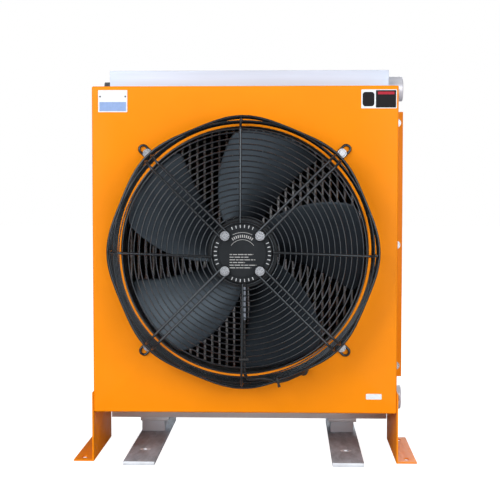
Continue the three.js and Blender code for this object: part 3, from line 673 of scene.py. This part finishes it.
def build_tanks():
    """The tanks, with a seam along each joint with the core, the side plates and the brackets."""
    # The bottom tank takes the paler aluminium, which carries painted light.
    for node, material in (("top_tank", TANK_METAL), ("bottom_tank", LOWER_TANK_PAINTED_LIGHT)):
        soften(node, material, 1.6 * MM, segments=3)
        low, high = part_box(node)
        z = low.z + 1.2 * MM if node == "top_tank" else high.z - 1.2 * MM
        seams = []
        for y in (low.y + 0.3 * MM, high.y - 0.3 * MM):
            ends = [Vector((x, y, z)) for x in (low.x + 1 * MM, high.x - 1 * MM)]
            seams.append((ends, 0.9 * MM, False))
        wire_piece(f"{node}_seams", seams, material)
    for word in ("left", "right"):
        soften(f"core_side_plate_{word}", BRACKET_METAL, 0.6 * MM)
        soften(f"core_bracket_{word}", BRACKET_METAL, 0.6 * MM)


def build_ports():
    """Turned bosses with a chamfered mouth and thread grooves in the bore."""
    for word in ("upper", "lower"):
        low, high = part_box(f"{word}_port")
        outer, bore, length = 28 * MM, 19 * MM, high.x - low.x
        chamfer, pitch = 1.5 * MM, 2.3 * MM
        rim = [(outer, 0), (outer, length - chamfer)]
        rim += [(outer - chamfer, length), (bore + 2 * MM, length)]
        thread = []
        y = length - 2 * MM
        while y > 4 * MM:
            thread += [(bore + 0.2 * MM, y), (bore + 1.4 * MM, y - pitch / 2)]
            y -= pitch
        bm = turned(rim + thread + [(bore, 0)], 96)
        place = Vector((low.x, (low.y + high.y) / 2, (low.z + high.z) / 2))
        bm.transform(Matrix.Translation(place) @ Matrix.Rotation(radians(-90), 4, "Z"))
        mesh_piece(f"{word}_port_boss", bm, PORT_METAL, replaces=[f"{word}_port"])


def build_plugs():
    """Hexagon plugs with a flange and a chamfered head."""
    for node in ("vent_plug", "drain_plug"):
        low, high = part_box(node)
        place = Vector((-HALF_WIDTH - GAP, (low.y + high.y) / 2, (low.z + high.z) / 2))
        flange = [(0, -4), (11.7, -4), (12.4, -3.2), (12.4, 0), (8, 0), (8, 8.8), (0, 8.8)]
        head = [(0, -19), (9, -19), (10.9, -17.6), (10.9, -3.8), (0, -3.8)]
        bm = turned(in_mm(flange), 48)
        merge(bm, turned(in_mm(head), 6))
        bm.transform(Matrix.Translation(place) @ Matrix.Rotation(radians(-90), 4, "Z"))
        mesh_piece(f"{node}_hex", bm, DARK_ZINC, replaces=[node])


def build_core():
    """The tubes, the fins and all that is fixed to them."""
    build_tubes()
    build_fins()
    build_tanks()
    build_ports()
    build_plugs()


# ---- Feet and legs -----------------------------------

FOOT_HOLE_BEHIND_PANEL = 86 * MM


def build_feet():
    """Both feet, each a plate, a block and a top plate, and both legs."""
    for word in ("left", "right"):
        build_sawn_bar(f"foot_plate_{word}")
        soften(f"foot_block_{word}", BLOCK_METAL, 1.2 * MM, segments=3)
        build_sawn_bar(f"foot_top_plate_{word}")
        soften(f"leg_{word}", PAINT, 0.9 * MM, segments=3)
        build_hole_ring(word)


def build_sawn_bar(node):
    """A flat bar, dull along its length and bright where the saw cut its ends."""
    bm = round_edges(from_node(node), 0.7 * MM)
    bm.normal_update()
    for face in bm.faces:
        if abs(face.normal.y) > 0.8:
            face.material_index = 1
    mesh_piece(f"sawn_{node}", bm, [BAR, SAWN_METAL], replaces=[node])


def build_hole_ring(word):
    """The bright ring that a washer left round the front hole of a foot plate."""
    low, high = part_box(f"foot_plate_{word}")
    place = Vector(((low.x + high.x) / 2, PANEL_Y + FOOT_HOLE_BEHIND_PANEL, high.z))
    bm = turned(in_mm([(6.3, -0.2), (11.5, -0.2), (12, 0.15), (6.6, 0.15)]), 48)
    bm.transform(Matrix.Translation(place) @ Matrix.Rotation(radians(90), 4, "X"))
    mesh_piece(f"hole_ring_{word}", bm, SAWN_METAL)


# ---- Fasteners ---------------------------------------

HEAD_RADIUS = 7.5 * MM
HEAD_HEIGHT = 5.3 * MM
WASHER_HEIGHT = 1.6 * MM
SPRING_HEIGHT = 1.4 * MM


def hex_bolt(washer, length):
    """A hexagon bolt on a spring washer and a flat washer of this radius, pointing along +Y."""
    flat = -WASHER_HEIGHT
    spring = flat - SPRING_HEIGHT
    top = flat - HEAD_HEIGHT
    shank = 3.9 * MM
    profile = [(4.2 * MM, flat), (washer - 0.3 * MM, flat), (washer, flat + 0.3 * MM)]
    profile += [(washer, -0.2 * MM), (washer - 0.2 * MM, 0), (shank, 0), (shank, length)]
    bm = turned(profile + [(0, length), (0, flat)], 40)
    ring = [(4.1 * MM, flat), (6.9 * MM, flat), (6.9 * MM, spring), (4.1 * MM, spring)]
    merge(bm, turned(ring, 40))
    head = [(0, top), (HEAD_RADIUS * 0.86, top), (HEAD_RADIUS * 0.99, top + 0.6 * MM)]
    merge(bm, turned(head + [(HEAD_RADIUS * 0.99, spring), (0, spring)], 6))
    return bm


def bolt_piece(node, washer, length, place, rotation=Matrix.Identity(4)):
    """The piece for a CAD bolt, with its washer's seat at place."""
    bm = hex_bolt(washer, length)
    bm.transform(Matrix.Translation(place) @ rotation)
    mesh_piece(f"{node}_hex", bm, ZINC, replaces=[node], sharp=30)


def build_bolts():
    """The bolts through the guard's loops, the shroud's flanges and the legs."""
    narrow, wide = 8.7 * MM, 9.3 * MM
    panel_seat = 2 * (RIB + GAP)
    motor_seat = GUARD_FACE + RIB + GAP
    for corner, angle in zip(CORNERS, DIAGONALS):
        on_panel = on_fan(angle, GUARD_BOLT_RADIUS, panel_seat)
        bolt_piece(f"guard_bolt_{corner}", wide, 15 * MM, on_panel)
        on_motor = on_fan(angle, MOTOR_BOLT_RADIUS, motor_seat)
        bolt_piece(f"motor_bolt_{corner}", wide, 16 * MM, on_motor)
    for word, side in (("left", -1), ("right", 1)):
        for level in ("lower", "middle", "upper"):
            node = f"flange_bolt_{word}_{level}"
            low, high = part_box(node)
            middle = (low + high) / 2
            seat = Vector((middle.x, SHROUD_HIGH.y - SHEET - GAP, middle.z))
            bolt_piece(node, wide, 14 * MM, seat)
        for row in ("front", "rear"):
            node = f"leg_bolt_{word}_{row}"
            low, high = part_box(node)
            middle = (low + high) / 2
            seat = Vector((side * (HALF_WIDTH + 3.6 * MM), middle.y, middle.z))
            bolt_piece(node, narrow, 13 * MM, seat, Matrix.Rotation(radians(90 * side), 4, "Z"))


# ---- Guard -------------------------------------------

SHOULDER_RADIUS = 236 * MM
RIM_RADIUS = 263.5 * MM
RIM_FACE = 88 * MM
RIM_SAG = 7.5 * MM
FOOT_RADIUS = 262.5 * MM
FOOT_FACE = 7 * MM
WALL_RING = 2.1 * MM
OUTSIDE_RING_FACES = (66 * MM, 45 * MM)
INSIDE_RING_FACES = (73 * MM, 56 * MM, 39 * MM, 22 * MM)
LOOP_CENTRE = 291.5 * MM
FIRST_RING = 61.5 * MM
RING_PITCH = 10.8 * MM
WELD_BITE = 0.5 * MM
# Each straight spoke's angle, and how far it stands off the fan's axis at its inner and outer end.
SPOKES = (
    (0, 2.2 * MM, -5.6 * MM),
    (90, 4.4 * MM, 3.4 * MM),
    (180, 6.3 * MM, -1 * MM),
    (270, 0, -2 * MM),
)


def wall_radius(face):
    """The radius of the guard's wall this far in front of the panel."""
    return FOOT_RADIUS + (RIM_RADIUS - FOOT_RADIUS) * (face - FOOT_FACE) / (RIM_FACE - FOOT_FACE)


def rib_shoulder():
    """The bend from the guard's front to its wall, as (radius, face) pairs."""
    across, drop = RIM_RADIUS - SHOULDER_RADIUS, GUARD_FACE - RIM_FACE
    turn = arc((0, 0), 1, 90, 0, 10)
    return [(SHOULDER_RADIUS + across * x, RIM_FACE + drop * y) for x, y in turn]


def across_spoke(angle):
    """The direction at right angles to a spoke, in the guard's plane."""
    return Vector((-sin(radians(angle)), 0, cos(radians(angle))))


def loop_points(angle, side):
    """One wire of a diagonal rib, from the tip of its inner loop to the tip of its outer one."""
    seat = RIB + GAP
    turn = FOOT_FACE - seat
    tip = [(LOOP_HALF * x, LOOP_HALF * y) for x, y in arc((0, 0), 1, 0, 90, 8)]
    inner = [(MOTOR_BOLT_RADIUS - x, GUARD_FACE, y) for x, y in tip]
    foot = arc((0, 0), 1, 0, 90, 5)
    bend = [(FOOT_RADIUS + turn - turn * x, FOOT_FACE - turn * y) for x, y in foot]
    middle = [(r, face, LOOP_HALF) for r, face in rib_shoulder() + bend]
    outer = [(LOOP_CENTRE + x, seat, y) for x, y in tip[::-1]]
    sideways = across_spoke(angle) * side
    places = inner + middle + outer
    return [on_fan(angle, r, face) + sideways * offset for r, face, offset in places]


def loop_wire(angle):
    """The whole closed hairpin round the motor bolt and the panel bolt."""
    one, other = loop_points(angle, 1), loop_points(angle, -1)
    return one + other[::-1][1:-1], RIB, True


def spoke_wire(angle, inner, outer):
    """A straight spoke, which runs across the front and down the wall."""
    start = FIRST_RING - 2 * MM
    across = across_spoke(angle)
    slope = (outer - inner) / (RIM_RADIUS - start)
    points = []
    for radius, face in [(start, GUARD_FACE)] + rib_shoulder() + [(FOOT_RADIUS, FOOT_FACE)]:
        points.append(on_fan(angle, radius, face) + across * (inner + slope * (radius - start)))
    return points, RIB, False


def ring_wire(radius, face, wire, sag=0.0):
    """A ring that sags inwards between the ribs, so that it is slightly octagonal."""
    count = 144
    turns = [360 * i / count for i in range(count)]
    points = [on_fan(t, radius - sag * (1 - cos(radians(8 * t))) / 2, face) for t in turns]
    return points, wire, True


def outside_ring(face, wire):
    """A ring welded round the outside of the ribs."""
    return ring_wire(wall_radius(face) + RIB + wire - WELD_BITE, face, wire, RIM_SAG)


def inside_ring(face, wire):
    """A ring welded round the inside of the ribs."""
    return ring_wire(wall_radius(face) - RIB - wire + WELD_BITE, face, wire)


def build_guard():
    """The whole basket, as one piece."""
    front = GUARD_FACE - RIB - RING + WELD_BITE
    radii = [FIRST_RING + RING_PITCH * i for i in range(16)] + [235.5 * MM, 242 * MM]
    paths = [loop_wire(angle) for angle in DIAGONALS]
    paths += [spoke_wire(*spoke) for spoke in SPOKES]
    paths += [ring_wire(radius, front, RING) for radius in radii]
    paths += [outside_ring(RIM_FACE, RIB)]
    paths += [outside_ring(face, WALL_RING) for face in OUTSIDE_RING_FACES]
    paths += [inside_ring(face, WALL_RING) for face in INSIDE_RING_FACES]
    wire_piece("guard_wires", paths, WIRE_BLACK, replaces=["guard_grille", "guard_wall"])


# ---- Motor and fan -----------------------------------

PLATE_RECESS = 1.2 * MM  # from the end plate's raised details back to its flat middle
VENT_COUNT = 40
MARK_WIDTHS = (46, 38, 50, 30, 52, 42)  # of the rows of dashes, in millimetres


def build_end_plate():
    """The cast plate under the guard's inner loops, with a ring of vents and four bolt pads."""
    flat, tail = PLATE_RECESS / MM, PLATE_FACE / MM + 2
    cover = [(0, flat), (46, flat), (47, 3), (57, 3), (58, 4.5), (58, 11)]
    rim = [(62.8, 11.2), (63.9, 12.6), (63.9, 15.7), (17, 15.7)]
    bm = turned(in_mm(cover + rim + [(17, tail), (12, tail), (12, 12), (0, 12)]), 96)
    bm.transform(Matrix.Translation((0, -PLATE_FACE, 0)))
    add_vents(bm, -PLATE_FACE)
    for angle in DIAGONALS:
        pad = turned(in_mm([(0, 0.2), (10.5, 0.2), (12, 3.4), (0, 3.4)]), 48)
        merge(bm, pad, Matrix.Translation(on_fan(angle, MOTOR_BOLT_RADIUS, PLATE_FACE) - FAN))
    bm.transform(Matrix.Translation(FAN))
    finishes = [CAST_BLACK, PALE_TICK]
    mesh_piece("end_plate_casting", bm, finishes, replaces=["motor_end_plate"])
    build_plate_marks()


def add_vents(bm, face):
    """Short pale radial bars round the plate's edge, between the bolt pads."""
    low = (50 * MM, face + 0.6 * MM, -0.9 * MM)
    high = (56 * MM, face + 3.4 * MM, 0.9 * MM)
    for i in range(VENT_COUNT):
        angle = 360 * (i + 0.5) / VENT_COUNT
        if min(abs(angle - d) for d in DIAGONALS) >= 15:
            bar = bmesh.new()
            add_box(bar, low, high, 0.5 * MM)
            merge(bm, bar, Matrix.Rotation(-radians(angle), 4, "Y"), material=1)


def build_plate_marks():
    """Rows of plain pale dashes low on the plate, and two arcs and a row of ticks above them."""
    face = PANEL_Y - PLATE_FACE + PLATE_RECESS
    front, rear = face - 0.15 * MM, face + 0.2 * MM
    marks = bmesh.new()
    for i, width in enumerate(MARK_WIDTHS):
        z = FAN.z - (2 + 5.2 * i) * MM
        x = -25 * MM
        right = x + width * MM
        step = 0
        while x < right:
            end = min(x + (5 + 3 * ((i + step) % 3)) * MM, right)
            add_box(marks, (x, front, z - 0.8 * MM), (end, rear, z + 0.8 * MM), 0.1 * MM, 1)
            x = end + 1.6 * MM
            step += 1
    mesh_piece("plate_marks", marks, PALE_MARK)
    paths = []
    for radius, start, end in ((27, 35, 145), (41, 62, 118)):
        angles = [start + (end - start) * i / 24 for i in range(25)]
        points = [on_fan(angle, radius * MM, PLATE_FACE - PLATE_RECESS) for angle in angles]
        paths.append((points, 0.45 * MM, False))
    wire_piece("plate_arcs", paths, PALE_MARK)
    ticks = bmesh.new()
    for i in range(11):
        tick = bmesh.new()
        add_box(tick, (31 * MM, -0.15 * MM, -1 * MM), (36.5 * MM, 0.2 * MM, 1 * MM), 0.1 * MM, 1)
        merge(ticks, tick, Matrix.Rotation(-radians(56 + 6.8 * i), 4, "Y"))
    ticks.transform(Matrix.Translation(Vector((0, face, FAN.z))))
    mesh_piece("plate_ticks", ticks, PALE_MARK)


def build_bell():
    """The rotor's cup, with two shallow bands and a rounded front edge."""
    radius, wall = BELL_RADIUS, 6 * MM
    band = 1.2  # how deep the bands are, in millimetres
    front, rear = BELL_LOW.y - PANEL_Y, BELL_HIGH.y - PANEL_Y
    rear_half = [(2, 0), (0, 2), (0, 14), (band, 15), (band, 20), (0, 21)]
    outer = [(radius - down * MM, rear - along * MM) for down, along in rear_half]
    front_half = [(0, 16), (band, 15), (band, 6), (0, 5), (0, 1), (1, 0)]
    outer += [(radius - down * MM, front + along * MM) for down, along in front_half]
    inner = [(radius - wall, front), (radius - wall, rear - wall)]
    inner += [(14 * MM, rear - wall), (14 * MM, 5 * MM), (6.3 * MM, 5 * MM), (6.3 * MM, rear)]
    bm = turned(outer + inner, 96)
    bm.transform(Matrix.Translation(FAN))
    mesh_piece("rotor_cup", bm, BELL_BLACK, "fan", replaces=["rotor_bell"])


BLADE_ROOT = 69.3 * MM
BLADE_TIP = 244 * MM
BLADE_COUNT = 5
BLADE_GAUGE = 2.2 * MM
BLADE_GRID = 30
TIP_CORNER = 0.09  # the part of the blade's length that its round tip corners take


def blade_point(out, across, turn):
    """A point of a blade's middle surface, out to its tip and across from rear to front edge."""
    radius = BLADE_ROOT + (BLADE_TIP - BLADE_ROOT) * out
    middle = 164.5 - 20 * out + turn  # in degrees, like the half width
    half = 32.5 - 10.5 * out**0.8
    rear_edge = (14 + 20 * out) * MM
    front_edge = (-38 + 16 * out) * MM
    bow = 28 * MM * across * (1 - across)
    depth = rear_edge + (front_edge - rear_edge) * across - bow
    return on_fan(middle + half * (2 * across - 1), radius, -depth)


def rounded_corner(out, across):
    """Pulls the two tip corners of a blade in, so that they are round."""
    reach = TIP_CORNER
    span = 1 - reach
    past = max(0.0, (out - span) / reach)
    side = abs(2 * across - 1)
    edge = max(0.0, (side - (1 - 2 * reach)) / (2 * reach))
    if past and edge and hypot(past, edge) > 1:
        scale = 1 / hypot(past, edge)
        out = span + reach * past * scale
        side = (1 - 2 * reach) + 2 * reach * edge * scale
        across = 0.5 + 0.5 * side * (1 if across > 0.5 else -1)
    return out, across


def build_blade(number):
    """A pressed sheet blade with rounded corners and edges."""
    turn = 360 / BLADE_COUNT * (number - 1)
    places = [i / BLADE_GRID for i in range(BLADE_GRID + 1)]
    bm = bmesh.new()
    grid = []
    for out in places:
        row = [blade_point(*rounded_corner(out, across), turn) for across in places]
        grid.append([bm.verts.new(point) for point in row])
    for row, next_row in zip(grid, grid[1:]):
        for j in range(BLADE_GRID):
            bm.faces.new([row[j], next_row[j], next_row[j + 1], row[j + 1]])
    bmesh.ops.recalc_face_normals(bm, faces=bm.faces)
    if sum(face.normal.y for face in bm.faces) > 0:
        bmesh.ops.reverse_faces(bm, faces=bm.faces)
    for vert in bm.verts:
        vert.co.y -= BLADE_GAUGE / 2
    solid = round_edges(thicken(bm, BLADE_GAUGE), 0.6 * MM, 2, sharper_than=60)
    mesh_piece(f"blade_{number}", solid, BLADE, "fan", replaces=[f"fan_blade_{number}"])


def build_rivets():
    """A row of rivets along the root of each blade, where it is fixed to the rotor."""
    dome = in_mm([(0, 0), (2.4, 0), (2.2, 0.9), (1.2, 1.5), (0, 1.7)])
    bm = bmesh.new()
    for number in range(BLADE_COUNT):
        turn = 360 / BLADE_COUNT * number
        for j in range(1, 8):
            root = blade_point(0, j / 8, turn) - FAN
            rivet = turned(dome, 16)
            rivet.transform(Matrix.Rotation(radians(-90), 4, "Z"))
            rivet.transform(Matrix.Translation((BELL_RADIUS - 1.3 * MM, root.y - 5 * MM, 0)))
            merge(bm, rivet, Matrix.Rotation(-atan2(root.z, root.x), 4, "Y"))
    bm.transform(Matrix.Translation(FAN))
    mesh_piece("blade_rivets", bm, BELL_BLACK, "fan")


def build_motor():
    """The end plate, the rotor and its blades, and materials for the CAD nodes inside."""
    build_end_plate()
    build_bell()
    for number in range(1, BLADE_COUNT + 1):
        build_blade(number)
    build_rivets()
    inside = {"stator_core": LAMINATED, "stator_winding": COPPER}
    inside |= {node: ZINC for node in ("rotor_shaft", "bearing_front", "bearing_rear")}
    for node, material in inside.items():
        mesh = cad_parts[node].data
        mesh.materials.clear()
        mesh.materials.append(material)


# ---- Cable -------------------------------------------

CABLE_X = 3 * MM
CABLE_FACE = 109 * MM
GLAND_ANGLE, GLAND_RADIUS = -63.7, 272.5 * MM


def smooth_route(points):
    """A centripetal Catmull-Rom curve through the points."""
    steps = 10
    ends = [points[0] * 2 - points[1], *points, points[-1] * 2 - points[-2]]
    route = []
    for p0, p1, p2, p3 in zip(ends, ends[1:], ends[2:], ends[3:]):
        d1, d2, d3 = (max((b - a).length ** 0.5, 1e-6) for a, b in ((p0, p1), (p1, p2), (p2, p3)))
        t1 = (p1 - p0) / d1 - (p2 - p0) / (d1 + d2) + (p2 - p1) / d2
        t2 = (p2 - p1) / d2 - (p3 - p1) / (d2 + d3) + (p3 - p2) / d3
        t1, t2 = t1 * d2, t2 * d2
        for i in range(steps):
            t = i / steps
            a, b = 2 * t**3 - 3 * t**2 + 1, t**3 - 2 * t**2 + t
            c, d = -2 * t**3 + 3 * t**2, t**3 - t**2
            route.append(p1 * a + t1 * b + p2 * c + t2 * d)
    return [*route, points[-1]]


def cable_points():
    """The route: down behind the bottom spoke, under the rim ring and behind it to the gland."""
    drops = (58.7, 80, 110, 150, 190, 222)
    down = [FAN + Vector((CABLE_X, -CABLE_FACE, -drop * MM)) for drop in drops]
    bend = ((4.5, 107, 236), (9, 100, 246))
    over = [FAN + Vector((x * MM, -front * MM, -drop * MM)) for x, front, drop in bend]
    along = [(-85.5, 250.6, 91.5), (-81.5, 252.5, 84.5), (-78, 258.5, 81.2), (-74.8, 265, 81.6)]
    along += [(-71.5, 268.3, 72), (-68.2, 269.8, 57), (-65.7, 271.5, 43.5), (-64, 272.4, 33.5)]
    along = [on_fan(angle, radius * MM, front * MM) for angle, radius, front in along]
    into_gland = [on_fan(GLAND_ANGLE, GLAND_RADIUS, front * MM) for front in (28.5, 22.3)]
    return down + over + along + into_gland


def build_cable():
    """The cable in its grey sleeve, the gland and the two ties."""
    sheath = [(smooth_route(cable_points()), 3.45 * MM, False)]
    wire_piece("cable_sheath", sheath, RUBBER, replaces=["motor_cable"])
    drops = [(66 + 64 * i / 8) * MM for i in range(9)]
    sleeve = [FAN + Vector((CABLE_X, -CABLE_FACE, -drop)) for drop in drops]
    wire_piece("cable_sleeve", [(sleeve, 3.75 * MM, False)], SLEEVE)
    build_gland()
    soften("cable_tie_spoke", RUBBER, 0.4 * MM)
    soften("cable_tie_rim", RUBBER, 0.4 * MM)


def build_gland():
    """A domed nut with grip ribs on a hexagon base."""
    dome = [(3.8, -21.9)] + arc((6.2, -18.9), 3, 270, 360, 6)
    bm = turned(in_mm(dome + [(9.2, -10), (7.9, -10), (7.9, 8.9), (3.8, 8.9)]), 48)
    base = [(3.8, -10.2), (10.2, -10.2), (10.9, -9.4), (10.9, -0.3), (3.8, -0.3)]
    merge(bm, turned(in_mm(base), 6))
    for i in range(16):
        rib = bmesh.new()
        add_box(rib, (8.9 * MM, -18 * MM, -0.5 * MM), (9.5 * MM, -11 * MM, 0.5 * MM), 0.2 * MM, 1)
        merge(bm, rib, Matrix.Rotation(2 * pi * i / 16, 4, "Y"))
    bm.transform(Matrix.Translation(on_fan(GLAND_ANGLE, GLAND_RADIUS, 0)))
    mesh_piece("gland_nut", bm, RUBBER, replaces=["cable_gland"])


# ---- Plates and labels -------------------------------


def rounded_plate(bm, low, high, corner, material=0):
    """Adds a thin plate that faces the front and has rounded corners to bm."""
    cx, cz = (low.x + high.x) / 2, (low.z + high.z) / 2
    half_x, half_z = (high.x - low.x) / 2 - corner, (high.z - low.z) / 2 - corner
    outline = []
    for start, sx, sz in ((0, 1, 1), (90, -1, 1), (180, -1, -1), (270, 1, -1)):
        outline += arc((cx + sx * half_x, cz + sz * half_z), corner, start, start + 90, 5)
    part = bmesh.new()
    front = [part.verts.new((x, low.y, z)) for x, z in outline]
    back = [part.verts.new((x, high.y, z)) for x, z in outline]
    part.faces.new(front)
    part.faces.new(back)
    count = len(outline)
    for i in range(count):
        j = (i + 1) % count
        part.faces.new([front[i], front[j], back[j], back[i]])
    merge(bm, part, material=material)


def build_nameplate():
    """A thin plate with a pale upper field, a blue lower field and two rivets."""
    low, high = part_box("nameplate")
    back = PANEL_Y - GAP
    bm = bmesh.new()
    corner = Vector((low.x, back - 0.6 * MM, low.z))
    rounded_plate(bm, corner, Vector((high.x, back, high.z)), 1 * MM)
    split = low.z + (high.z - low.z) * 0.46
    field = Vector((low.x + 2.5 * MM, back - 0.75 * MM, low.z + 2 * MM))
    field_end = Vector((high.x - 2.5 * MM, back - 0.5 * MM, split))
    rounded_plate(bm, field, field_end, 0.5 * MM, material=1)
    for x in (low.x + 4 * MM, high.x - 4 * MM):
        rivet = turned(in_mm([(0, -1.1), (1.2, -0.95), (1.9, -0.5), (1.9, 0), (0, 0)]), 24)
        merge(bm, rivet, Matrix.Translation((x, back - 0.55 * MM, split + 11 * MM)), material=2)
    finishes = [WHITE_LABEL, BLUE_LABEL, DARK_ZINC]
    mesh_piece("nameplate_fields", bm, finishes, replaces=["nameplate"])


def build_stickers():
    """The upper label, white with plain dark and red fields, and the small blank one below it."""
    low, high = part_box("upper_label")
    third = low.x + (high.x - low.x) * 0.41
    bm = bmesh.new()
    rounded_plate(bm, low, high, 1.5 * MM)
    skin = 0.05 * MM
    right = Vector((third, low.y - skin, low.z + 1.5 * MM))
    right_end = Vector((high.x - 1.5 * MM, low.y + skin, high.z - 1.5 * MM))
    rounded_plate(bm, right, right_end, 0.5 * MM, material=1)
    left = Vector((low.x + 2.5 * MM, low.y - skin, low.z + 4 * MM))
    left_end = Vector((third - 3 * MM, low.y + skin, high.z - 5 * MM))
    rounded_plate(bm, left, left_end, 6 * MM, material=1)
    band = Vector((third + 4 * MM, low.y - 2 * skin, high.z - 10 * MM))
    band_end = Vector((high.x - 5 * MM, low.y, high.z - 4.5 * MM))
    rounded_plate(bm, band, band_end, 1 * MM, material=2)
    finishes = [WHITE_LABEL, DARK_LABEL, RED_LABEL]
    mesh_piece("sticker_fields", bm, finishes, replaces=["upper_label"])
    low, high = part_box("lower_label")
    bm = bmesh.new()
    rounded_plate(bm, low, high, 2 * MM)
    mesh_piece("small_sticker", bm, WHITE_LABEL, replaces=["lower_label"])


# ---- The scene ---------------------------------------

bpy.context.scene.view_settings.view_transform = "Standard"
make_camera()
make_world()
make_stage()
build_shroud()
build_core()
build_feet()
build_bolts()
build_guard()
build_motor()
build_cable()
build_nameplate()
build_stickers()
